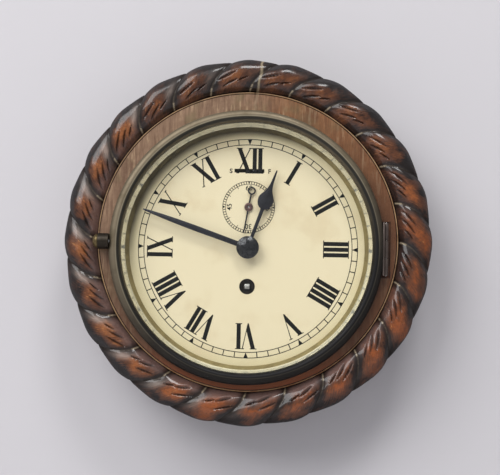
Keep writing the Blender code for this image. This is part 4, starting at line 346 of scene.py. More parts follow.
@dataclass(frozen=True)
class CarvedWood:
    """Stained and polished carving, worn to orange on the crests, with dust in the cuts. Shade is painted into the
    grooves, the cuts, the tuck against the flat ring and the outer flanks, light onto the lower left of the inner
    side, and highlights onto the strands' upper flanks and the flat ring's arrises.
    """

    dark: tuple = paint(24, 15, 12)
    brown: tuple = paint(86, 51, 33)
    worn: tuple = paint(146, 88, 48)
    amber: tuple = paint(146, 76, 34)
    facet_glint: tuple = paint(158, 142, 132)
    dusty_lit: tuple = paint(116, 92, 86)
    pale: tuple = paint(196, 148, 92)
    slate: tuple = paint(30, 28, 30)
    dust: tuple = paint(172, 156, 130)
    flat: tuple = paint(136, 108, 86)
    flat_warm: tuple = paint(136, 92, 58)
    flat_dark: tuple = paint(82, 54, 38)
    flat_low: tuple = paint(86, 51, 30)
    flat_gold: tuple = paint(138, 70, 30)
    flat_olive: tuple = paint(112, 100, 70)
    flat_pale: tuple = paint(190, 162, 128)
    arris: tuple = paint(184, 150, 112)
    putty: tuple = paint(176, 160, 130)
    side_to: float = 42.0
    joint_at: float = JOINT_AT

    def rope(self, r: Recipe) -> Wave:
        """The carved strands' colour.

        Args:
            r: The recipe being built.

        Returns:
            The colour.
        """
        groove, worn, cut, along = (r.attribute(name) for name in ("groove", "worn", "cut", "along"))
        x, y, z = (r.axis(name) for name in "XYZ")
        streak = self.streak(r, 5.0)
        blotch = r.noise(48, 4, 0.6)
        fine = r.noise(420, 4, 0.6)
        down = (x * 0.62 - z * 0.78).ramp(-10, 110)
        edge = (1 - groove * 1.5).held() * along.ramp(0.4, 0.65) * (1 - along.ramp(0.93, 1.0))
        front = (y * -1.0).ramp(self.side_to - 8.0, self.side_to)
        patch = (blotch - 0.5) * (0.7 + front * 2.1) + (streak - 0.5) * front * 1.2
        rub = (worn * 0.85 + down * edge * front * 0.4 + patch).held()
        colour = r.blend(rub.ramp(0.08, 0.55), self.dark, self.brown)
        rubbed = rub.ramp(0.5, 1.1) * (0.55 + fine.ramp(0.36, 0.6) * 0.35)
        colour = r.blend(rubbed, colour, r.blend(down, self.worn, self.amber))
        fleck = streak.ramp(0.6, 0.72) * blotch.ramp(0.46, 0.58) * worn.ramp(0.1, 0.6)
        colour = r.blend(fleck * 0.75, colour, self.pale)
        # Painted shade on the outer flanks of the strands, a dark reflection that thins out towards the lower
        # right.
        colour = r.blend(along.ramp(0.6, 0.95) * 0.7 * (1 - down * 0.85), colour, self.slate)
        # The inner side of the rope goes pale grey-brown: a little dust all round, with painted light that grows
        # towards the lower left, where that side faces the lamp.
        lit_low_left = (x * -0.5 - z * 0.85).ramp(-70, 70)
        dusty_lit = (1 - along.ramp(0.08, 0.40)) * (0.12 + lit_low_left * 0.73) * (0.6 + fine * 0.8)
        colour = r.blend(dusty_lit.held(), colour, self.dusty_lit)
        # Painted shade down in the grooves between the strands.
        colour = r.blend((groove.ramp(0.27, 0.76) * 0.86).held(), colour, self.dark)
        # Painted highlight on each strand's upper flank beside its groove, strongest on the left.
        left = (x * -1.0).ramp(-30, 120) * (0.2 + streak * 1.3)
        colour = r.blend((r.attribute("facet_glint") * left * 0.8).held(), colour, self.facet_glint)
        colour = r.blend(z.ramp(90, 150) * 0.3, colour, self.dark)
        # Painted shade in the spindle cuts.
        colour = r.blend((cut * 1.1).held(), colour, self.dark)
        return r.blend((r.attribute("dust") * fine.ramp(0.3, 0.55)).held(), colour, self.dust)

    def streak(self, r: Recipe, stretch: float) -> Wave:
        """Noise drawn out along the strands.

        Args:
            r: The recipe being built.
            stretch: How fine it is along a strand.

        Returns:
            The noise.
        """
        inputs = {0: r.attribute("lobe") * 34.0, 1: r.attribute("along") * stretch}
        place = Wave(r, r.node("ShaderNodeCombineXYZ", None, inputs).outputs[0])
        return r.noise(1.0, 4, 0.6, place)

    def plain(self, r: Recipe, grain: Wave) -> Wave:
        """The flat ring's colour.

        Args:
            r: The recipe being built.
            grain: Upright grain.

        Returns:
            The colour.
        """
        blotch = r.noise(40, 4, 0.6)
        warm = (r.axis("X") + (blotch - 0.5) * 90.0).ramp(-25, 45)
        colour = r.blend(warm, self.flat, self.flat_warm)
        wide = r.noise(420, 3, 0.6, r.spot((1.0, 1.0, 0.09)))
        colour = r.blend(grain.ramp(0.42, 0.72) * 0.5, colour, self.flat_dark)
        colour = r.blend(wide.ramp(0.5, 0.68) * 0.42, colour, self.flat_dark)
        colour = r.blend((1 - wide.ramp(0.36, 0.48)) * blotch.ramp(0.36, 0.56) * 0.5, colour, self.flat_pale)
        colour = r.blend(blotch.ramp(0.48, 0.7) * 0.55, colour, self.flat_dark)
        shade = 1 - (r.axis("Z") - r.axis("X") * 0.6).ramp(-70, 130)
        olive = r.noise(28, 3, 0.6).ramp(0.46, 0.62) * (1 - shade)
        colour = r.blend(olive * 0.6, colour, self.flat_olive)
        colour = r.blend(shade * 0.8, colour, self.flat_low)
        bottom = 1 - r.axis("Z").ramp(-124, -84)
        colour = r.blend(bottom * 0.75, colour, self.flat_gold)
        # Painted highlight along the flat ring's arrises, broken into patches.
        arris_glint = r.attribute("arris") * (0.55 + r.noise(70, 3).ramp(0.4, 0.6) * 0.45)
        return r.blend(arris_glint.ramp(0.2, 0.9) * 0.8, colour, self.arris)

    def make(self) -> bpy.types.Material:
        """Builds the material.

        Returns:
            The finished material.
        """
        r = Recipe("carved_wood")
        flat = r.attribute("flat")
        grain = r.noise(1500, 4, 0.65, r.spot((1.0, 1.0, 0.05)))
        wood = r.blend(flat.held(), self.rope(r), self.plain(r, grain))
        lean = (r.axis("Z") - 110.0).maths("MAXIMUM", 0.0) * 0.13
        wiggle = (r.noise(90, 3) - 0.5) * 5.0
        joint = (r.axis("X") - self.joint_at - lean + wiggle).maths("ABSOLUTE")
        high = r.axis("Z").ramp(60, 110)
        wood = r.blend((1 - joint.ramp(0.3, 1.9)) * high * (0.48 - flat * 0.3), wood, self.putty)
        fine = r.noise(420, 4, 0.6)
        streak = self.streak(r, 9.0)
        scratch = r.bump(grain * flat + streak * (1 - flat) * 4.0, 0.06)
        hollow = r.bump(r.noise(110, 3), 1.1, scratch)
        outer = r.attribute("along").ramp(0.72, 1.0) * (1 - flat)
        rough = (0.30 + r.attribute("groove") * 0.3 + (fine - 0.5) * 0.35 + flat * 0.12 + outer * 0.3).held()
        gloss = 0.55 - outer * 0.45
        return r.coat(Base_Color=wood, Roughness=rough, Normal=hollow, Specular_IOR_Level=0.16,
                      Coat_Weight=gloss, Coat_Roughness=0.12)


@dataclass(frozen=True)
class BoardWood:
    """Plain board with upright grain."""

    pale: tuple = paint(150, 118, 84)
    dark: tuple = paint(112, 84, 58)

    def make(self) -> bpy.types.Material:
        """Builds the material.

        Returns:
            The finished material.
        """
        r = Recipe("board_wood")
        warp = r.spot((1.0, 1.0, 0.06))
        rings = r.noise(140, 3, 0.5, warp)
        grain = r.noise(1500, 3, 0.6, warp)
        stripes = ((rings * 60.0).maths("SINE") * 0.5 + 0.5) * 0.6 + grain * 0.4
        colour = r.blend(stripes.ramp(0.2, 0.9), self.pale, self.dark)
        return r.coat(Base_Color=colour, Roughness=0.62 + grain * 0.2, Normal=r.bump(stripes, 0.12))


@dataclass(frozen=True)
class DarkBrass:
    """Brass gone dark with age, with painted dark reflection that turns it nearly black towards the lower right
    and inside the crest, and a painted highlight along the crest.
    """

    outer: tuple = paint(116, 105, 87)
    crest: tuple = paint(168, 160, 138)
    inner: tuple = paint(52, 50, 44)
    black: tuple = paint(26, 25, 26)
    spot: tuple = paint(80, 70, 50)
    crest_at: float = CREST_AT

    def make(self) -> bpy.types.Material:
        """Builds the material.

        Returns:
            The finished material.
        """
        r = Recipe("dark_brass")
        radius = r.from_axis()
        patch = r.noise(45, 4, 0.6)
        fine = r.noise(700, 3)
        inside = 1 - radius.ramp(self.crest_at - 0.9, self.crest_at + 0.1)
        lip = 1 - radius.ramp(108.6, 110.2)
        colour = r.blend(patch.ramp(0.45, 0.7) * 0.5, self.outer, self.spot)
        # Painted dark reflection, nearly black, towards the lower right.
        away = (r.axis("X") * 0.36 - r.axis("Z") * 0.85 + (patch - 0.5) * 40.0).ramp(-60, 76)
        colour = r.blend(away * 0.95, colour, self.black)
        # Inside the crest the inner slope is painted as dark reflection, lighter at the lip on the lit upper left.
        inner = r.blend(lip * (1 - away) * 0.6, r.blend(away, self.inner, self.black), self.outer)
        colour = r.blend(inside * radius.ramp(106.5, 107.4), colour, inner)
        # Painted highlight along the crest, faint on the dark side.
        crest_highlight = 1 - (radius - self.crest_at - 0.2).maths("ABSOLUTE").ramp(0.1, 0.6)
        colour = r.blend(crest_highlight * 0.45 * (1 - away * 0.85), colour, self.crest)
        rough = (0.46 + (patch - 0.5) * 0.3 + (fine - 0.5) * 0.15).held()
        return r.coat(Base_Color=colour, Metallic=0.5, Specular_IOR_Level=0.2, Roughness=rough,
                      Normal=r.bump(fine, 0.012))


@dataclass(frozen=True)
class Metal:
    """A plain metal with faint marks."""

    name: str
    colour: tuple
    spot: tuple
    roughness: float
    metallic: float = 1.0
    mark_scale: float = 120.0
    mark_depth: float = 0.01

    def make(self) -> bpy.types.Material:
        """Builds the material.

        Returns:
            The finished material.
        """
        r = Recipe(self.name)
        patch = r.noise(self.mark_scale, 4, 0.6)
        fine = r.noise(self.mark_scale * 9, 2)
        colour = r.blend(patch.ramp(0.4, 0.75) * 0.6, self.colour, self.spot)
        rough = (self.roughness + (patch - 0.5) * 0.25 + (fine - 0.5) * 0.08).held()
        return r.coat(Base_Color=colour, Metallic=self.metallic, Roughness=rough,
                      Normal=r.bump(fine, self.mark_depth))


@dataclass(frozen=True)
class HoleShadeSteel:
    """Steel painted dark as shade down in the winding hole, rubbed bright at its tip, with a painted highlight on
    the tip's upper left.
    """

    hole_shade: tuple = paint(34, 24, 19)
    rust: tuple = paint(70, 46, 32)
    tip: tuple = paint(232, 228, 224)
    tip_from: float = 48.1

    def make(self) -> bpy.types.Material:
        """Builds the material.

        Returns:
            The finished material.
        """
        r = Recipe("hole_shade_steel")
        patch = r.noise(300, 4, 0.6)
        bright = (r.axis("Y") * -1.0 - self.tip_from).ramp(-0.1, 0.2)
        # The dark base colour is painted shade; the patches are rust.
        colour = r.blend(patch.ramp(0.45, 0.7) * 0.6, self.hole_shade, self.rust)
        # Painted highlight: the tip is lighter towards its upper left.
        lit = 0.45 + (r.axis("Z") * 0.8 - r.axis("X") * 0.4).ramp(-32.6, -30.6) * 0.55
        colour = r.blend(bright * lit * (0.6 + patch.ramp(0.35, 0.55) * 0.4), colour, self.tip)
        return r.coat(Base_Color=colour, Metallic=bright * 0.5, Roughness=0.55 - bright * 0.2,
                      Normal=r.bump(patch, 0.02))


@dataclass(frozen=True)
class SightBrass:
    """The ring round the dial: old brass, with painted shade towards the top and left."""

    bright: tuple = paint(158, 142, 98)
    spot: tuple = paint(106, 90, 56)
    shade: tuple = paint(62, 52, 30)

    def make(self) -> bpy.types.Material:
        """Builds the material.

        Returns:
            The finished material.
        """
        r = Recipe("sight_brass")
        patch = r.noise(80, 4, 0.6)
        fine = r.noise(700, 3)
        # Painted shade towards the top and left.
        over = (r.axis("Z") * 0.9 + r.axis("X") * -0.45 + (patch - 0.5) * 50.0).ramp(0, 96)
        colour = r.blend(patch.ramp(0.4, 0.75) * 0.6, self.bright, self.spot)
        colour = r.blend(over * 0.9, colour, self.shade)
        return r.coat(Base_Color=colour, Metallic=0.55, Roughness=0.36 + (patch - 0.5) * 0.25,
                      Normal=r.bump(fine, 0.01))


@dataclass(frozen=True)
class KnobBrass:
    """The thumb screw: a dark knurled barrel with a rubbed brass dome."""

    barrel: tuple = paint(46, 40, 32)
    dome: tuple = paint(106, 92, 60)
    spot: tuple = paint(72, 58, 36)
    dome_from: float = -128.0

    def make(self) -> bpy.types.Material:
        """Builds the material.

        Returns:
            The finished material.
        """
        r = Recipe("knob_brass")
        patch = r.noise(260, 4, 0.6)
        colour = r.blend(patch.ramp(0.4, 0.7) * 0.7, self.dome, self.spot)
        colour = r.blend(r.axis("X").ramp(self.dome_from - 0.3, self.dome_from + 0.3), colour, self.barrel)
        return r.coat(Base_Color=colour, Metallic=0.75, Roughness=0.4 + (patch - 0.5) * 0.25,
                      Normal=r.bump(patch, 0.02))


@dataclass(frozen=True)
class DialPaint:
    """Old cream dial paint, browner towards the rim and faintly mottled, with the bezel's shadow painted on the
    rim at the top and left.
    """

    cream: tuple = paint(243, 226, 192)
    brown: tuple = paint(222, 206, 160)
    stain: tuple = paint(230, 208, 172)
    bezel_shadow: tuple = paint(74, 60, 36)
    edge: tuple = paint(40, 34, 28)

    def make(self) -> bpy.types.Material:
        """Builds the material.

        Returns:
            The finished material.
        """
        r = Recipe("dial_paint")
        radius = r.from_axis()
        cloud = r.noise(22, 4, 0.6)
        fine = r.noise(260, 3, 0.6)
        rim = radius.ramp(84, 106) * 0.7
        colour = r.blend((rim + (cloud - 0.5) * 0.8).held(), self.cream, self.brown)
        colour = r.blend((cloud.ramp(0.5, 0.68) * 0.6 + (fine - 0.5) * 0.3).held(), colour, self.stain)
        # The bezel's shadow, painted dark on the rim towards the top and left.
        over = r.axis("Z") * 0.9 + r.axis("X") * -0.55 + (cloud - 0.5) * 24.0
        colour = r.blend(radius.ramp(94.5, 103) * over.ramp(16, 80) * 0.96, colour, self.bezel_shadow)
        colour = r.blend((r.axis("Y") + DIAL_FACE).ramp(0.05, 0.15), colour, self.edge)
        return r.coat(Base_Color=colour, Roughness=0.42 + (fine - 0.5) * 0.2, Normal=r.bump(fine, 0.01))


@dataclass(frozen=True)
class Ink:
    """Black dial print, thin in places."""

    black: tuple = paint(9, 7, 6)
    faded: tuple = paint(44, 35, 28)

    def make(self) -> bpy.types.Material:
        """Builds the material.

        Returns:
            The finished material.
        """
        r = Recipe("dial_ink")
        fine = r.noise(700, 3, 0.7)
        colour = r.blend(fine.ramp(0.55, 0.8) * 0.7, self.black, self.faded)
        return r.coat(Base_Color=colour, Roughness=0.7 + (fine - 0.5) * 0.2, Specular_IOR_Level=0.2)


@dataclass(frozen=True)
class ClearGlass:
    """Clear glass that shows the dial and reflects a little."""

    tint: tuple = (0.965, 0.975, 0.965, 1.0)

    def make(self) -> bpy.types.Material:
        """Builds the material.

        Returns:
            The finished material.
        """
        r = Recipe("clear_glass")
        through = r.node("ShaderNodeBsdfTransparent", None, {0: self.tint})
        smear = r.noise(30, 3)
        gloss = r.node("ShaderNodeBsdfPrincipled", None, {
            "Base Color": (0.9, 0.92, 0.92, 1.0), "Metallic": 1.0, "Roughness": 0.03 + smear * 0.03})
        facing = r.node("ShaderNodeFresnel", None, {"IOR": 1.45})
        front = 1 - Wave(r, r.node("ShaderNodeNewGeometry").outputs["Backfacing"])
        share = Wave(r, facing.outputs[0]) * front
        return r.end(r.node("ShaderNodeMixShader", None, {0: share, 1: through.outputs[0], 2: gloss.outputs[0]}))


@dataclass(frozen=True)
class PlainWall:
    """Pale matt wall that is seen from its front only."""

    name: str
    colour: tuple
    one_sided: bool = True

    def make(self) -> bpy.types.Material:
        """Builds the material.

        Returns:
            The finished material.
        """
        r = Recipe(self.name)
        fine = r.noise(40, 3)
        colour = r.blend(fine * 0.3, self.colour, tuple(c * 0.96 for c in self.colour[:3]) + (1.0,))
        shader = r.node("ShaderNodeBsdfPrincipled", None, {"Base Color": colour, "Roughness": 0.9})
        if not self.one_sided:
            return r.end(shader)
        back = r.node("ShaderNodeNewGeometry").outputs["Backfacing"]
        clear = r.node("ShaderNodeBsdfTransparent")
        return r.end(r.node("ShaderNodeMixShader", None, {0: back, 1: shader.outputs[0], 2: clear.outputs[0]}))


# Bench work


class Bench:
    """Modelling moves shared by the pieces; lengths are millimetres."""

    @staticmethod
    def seat(x: float, y: float, height: float, drop: float = BRASS_DROP) -> Vector:
        """Turns a place on the clock's face into the shared frame.

        Args:
            x: Millimetres to the right.
            y: Millimetres up.
            height: Millimetres out from the wall.
            drop: How far the face's centre lies below the origin.

        Returns:
            The place in metres.
        """
        return Vector((x, -height, y - drop)) * MM

    @staticmethod
    def pick(obj: bpy.types.Object) -> None:
        """Selects one object alone.

        Args:
            obj: The object.
        """
        bpy.ops.object.select_all(action="DESELECT")
        obj.select_set(True)
        bpy.context.view_layer.objects.active = obj

    @staticmethod
    def start(name: str) -> bpy.types.Object:
        """Adds an object with a single point and stays in edit mode.

        Args:
            name: The piece's name.

        Returns:
            The new object.
        """
        bpy.ops.object.select_all(action="DESELECT")
        bpy.ops.mesh.primitive_plane_add(size=MM, location=(0, 0, 0))
        obj = bpy.context.object
        obj.name = name
        obj.data.name = name
        bpy.ops.object.mode_set(mode="EDIT")
        bpy.ops.mesh.select_all(action="SELECT")
        bpy.ops.mesh.delete(type="VERT")
        return obj

    @staticmethod
    def chain(points: Sequence[Vector], closed: bool, faced: bool = False) -> None:
        """Draws a chain of points in the mesh being edited and leaves it selected.

        Args:
            points: The chain's points, in metres.
            closed: Whether the last point joins the first.
            faced: Whether the closed chain is filled.
        """
        bpy.ops.mesh.select_all(action="DESELECT")
        bpy.ops.mesh.primitive_plane_add(size=MM, location=points[0])
        bpy.ops.mesh.merge(type="CENTER")
        for before, after in zip(points, points[1:]):
            bpy.ops.mesh.extrude_vertices_move(TRANSFORM_OT_translate={"value": tuple(after - before)})
        if closed and not faced:
            bpy.ops.mesh.extrude_vertices_move(TRANSFORM_OT_translate={"value": tuple(points[0] - points[-1])})
        bpy.ops.mesh.select_linked()
        if faced:
            bpy.ops.mesh.edge_face_add()

    @staticmethod
    def done(obj: bpy.types.Object, smooth: bool = True) -> bpy.types.Object:
        """Merges doubles, turns the faces outwards and leaves edit mode.

        Args:
            obj: The piece.
            smooth: Whether gentle edges are shaded smooth.

        Returns:
            The piece.
        """
        bpy.ops.mesh.select_all(action="SELECT")
        bpy.ops.mesh.remove_doubles(threshold=1e-6)
        bpy.ops.mesh.normals_make_consistent(inside=False)
        bpy.ops.object.mode_set(mode="OBJECT")
        if smooth:
            bpy.ops.object.shade_smooth_by_angle(angle=SMOOTH_ANGLE)
        return obj

    @classmethod
    def lathe(cls, name: str, profile: Sequence[Point], steps: int = RING_STEPS,
              centre: Point = (0.0, 0.0)) -> bpy.types.Object:
        """Turns a profile of (radius, height) round an axis that stands out from the wall.

        A profile that starts on the axis ends there too. Any other closes on itself.

        Args:
            name: The piece's name.
            profile: Radius and height of each corner.
            steps: Steps round the axis.
            centre: Where the axis stands on the face.

        Returns:
            The turned piece.
        """
        obj = cls.start(name)
        cls.chain([cls.seat(centre[0], centre[1] + r, h) for r, h in profile], profile[0][0] > 0)
        bpy.ops.mesh.spin(steps=steps, angle=math.tau, center=cls.seat(*centre, 0), axis=(0, 1, 0))
        return cls.done(obj)

    @classmethod
    def plates(cls, name: str, outlines: Iterable[Sequence[Point]], low: float, high: float) -> bpy.types.Object:
        """Cuts flat plates to outlines on the face.

        Args:
            name: The piece's name.
            outlines: Corner lists in millimetres on the face.
            low: Height of the back.
            high: Height of the front.

        Returns:
            The plates as one object.
        """
        obj = cls.start(name)
        for outline in outlines:
            cls.chain([cls.seat(x, y, low) for x, y in outline], True, True)
        bpy.ops.mesh.select_all(action="SELECT")
        bpy.ops.mesh.extrude_region_move(TRANSFORM_OT_translate={"value": (0, (low - high) * MM, 0)})
        return cls.done(obj, False)

    @classmethod
    def bevel(cls, obj: bpy.types.Object, width: float, segments: int = 2) -> None:
        """Rounds a piece's sharp edges.

        Args:
            obj: The piece.
            width: Width in millimetres.
            segments: Steps across the bevel.
        """
        cls.pick(obj)
        modifier = obj.modifiers.new("edge", "BEVEL")
        modifier.width = width * MM
        modifier.segments = segments
        modifier.angle_limit = SHARP_ANGLE
        bpy.ops.object.modifier_apply(modifier=modifier.name)
        bpy.ops.object.shade_smooth_by_angle(angle=SMOOTH_ANGLE)

    @classmethod
    def cut(cls, obj: bpy.types.Object, cutter: bpy.types.Object) -> None:
        """Cuts one shape out of another.

        Args:
            obj: What is cut.
            cutter: What is taken away.
        """
        cls.pick(obj)
        modifier = obj.modifiers.new("cut", "BOOLEAN")
        modifier.operation = "DIFFERENCE"
        modifier.object = cutter
        modifier.solver = "EXACT"
        bpy.ops.object.modifier_apply(modifier=modifier.name)
        bpy.data.objects.remove(cutter, do_unlink=True)

    @classmethod
    def saw(cls, obj: bpy.types.Object, at: float, side: int) -> bpy.types.Object:
        """Saws a piece off straight and upright.

        Args:
            obj: The piece.
            at: How far to the right the cut runs.
            side: 1 where the waste lies right of the cut, -1 where it lies left.

        Returns:
            What is left of it.
        """
        cls.pick(obj)
        bpy.ops.object.mode_set(mode="EDIT")
        bpy.ops.mesh.select_all(action="SELECT")
        bpy.ops.mesh.bisect(plane_co=(at * MM, 0, 0), plane_no=(side, 0, 0), use_fill=True, clear_outer=True)
        return cls.done(obj)

    @staticmethod
    def join(name: str, parts: Sequence[bpy.types.Object]) -> bpy.types.Object:
        """Joins objects into one.

        Args:
            name: The joined piece's name.
            parts: The objects.

        Returns:
            The joined piece.
        """
        bpy.ops.object.select_all(action="DESELECT")
        for part in parts:
            part.select_set(True)
        bpy.context.view_layer.objects.active = parts[0]
        bpy.ops.object.join()
        parts[0].name = name
        parts[0].data.name = name
        return parts[0]

    @staticmethod
    def move_points(obj: bpy.types.Object, rule: Callable[[Vector], Vector]) -> None:
        """Moves every point of a piece by a rule, as with a sculpting tool.

        Args:
            obj: The piece.
            rule: Gives each point's new place, in metres.
        """
        for vertex in obj.data.vertices:
            vertex.co = rule(vertex.co)
        obj.data.update()


def arc(radius: float, start: float, end: float, count: int) -> list[Point]:
    """Points along an arc round the origin.

    Args:
        radius: Radius in millimetres.
        start: First angle in degrees, anticlockwise from the right.
        end: Last angle in degrees.
        count: Number of points.

    Returns:
        The points.
    """
    angles = [math.radians(start + (end - start) * i / (count - 1)) for i in range(count)]
    return [(radius * math.cos(a), radius * math.sin(a)) for a in angles]


def turned(points: Iterable[Point], clockwise: float, centre: Point = (0.0, 0.0)) -> list[Point]:
    """Turns points clockwise and moves them.

    Args:
        points: Points on the face.
        clockwise: Degrees.
        centre: What is added after the turn.

    Returns:
        The turned points.
    """
    a = math.radians(clockwise)
    return [
        (centre[0] + x * math.cos(a) + y * math.sin(a), centre[1] - x * math.sin(a) + y * math.cos(a))
        for x, y in points
    ]


def fit(obj: bpy.types.Object, material: bpy.types.Material, slot: Slot, body: Body, *nodes: str) -> None:
    """Dresses a piece, seats it on its body and hides the nodes that it stands for.

    Args:
        obj: The piece.
        material: Its material.
        slot: The record's slot that its finish comes from; not used.
        body: The body that it rides on.
        nodes: The nodes that it replaces.
    """
    obj.data.materials.clear()
    obj.data.materials.append(material)
    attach(obj, body.value)
    if nodes:
        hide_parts(*nodes)
    obj.data.calc_loop_triangles()
    LOG.info("%s: %d triangles on %s", obj.name, len(obj.data.loop_triangles), body.value)


class Finishes:
    """All the materials, made once."""

    def __init__(self) -> None:
        """Builds every finish."""
        self.by_slot = {
            Slot.CARVED_WOOD: CarvedWood().make(),
            Slot.BOARD_WOOD: BoardWood().make(),
            Slot.DARK_BRASS: DarkBrass().make(),
            Slot.BRIGHT_BRASS: Metal("bright_brass", paint(196, 172, 118), paint(150, 124, 72),
                                     roughness=0.30).make(),
            Slot.POLISHED_RIM: Metal("polished_rim", paint(243, 240, 226), paint(214, 208, 186), roughness=0.12,
                                     metallic=0.72, mark_scale=60, mark_depth=0.003).make(),
            Slot.DIAL_PAINT: DialPaint().make(),
            Slot.BLUED_STEEL: Metal("blued_steel", paint(58, 57, 64), paint(34, 32, 36), roughness=0.34,
                                    metallic=0.75).make(),
            Slot.BRIGHT_STEEL: Metal("bright_steel", paint(196, 196, 196), paint(150, 148, 144),
                                     roughness=0.28).make(),
            Slot.SPRING_STEEL: Metal("spring_steel", paint(98, 112, 150), paint(70, 76, 96),
                                     roughness=0.28).make(),
            Slot.CLEAR_GLASS: ClearGlass().make(),
        }
        self.ink = Ink().make()
        self.sight = SightBrass().make()
        self.seconds = Metal("browned_steel", paint(112, 86, 84), paint(74, 56, 54), roughness=0.36,
                             metallic=0.7).make()
        self.knob = KnobBrass().make()
        self.boss = Metal("boss_black", paint(44, 44, 48), paint(70, 68, 70), roughness=0.2, metallic=0.6,
                          mark_scale=300).make()
        self.hole_shaded = HoleShadeSteel().make()
        self.hinge = Metal("hinge_iron", paint(100, 88, 82), paint(66, 58, 55), roughness=0.36, metallic=0.6,
                           mark_scale=160).make()

    def __getitem__(self, slot: Slot) -> bpy.types.Material:
        """The material of a slot."""
        return self.by_slot[slot]


# Sub-assemblies


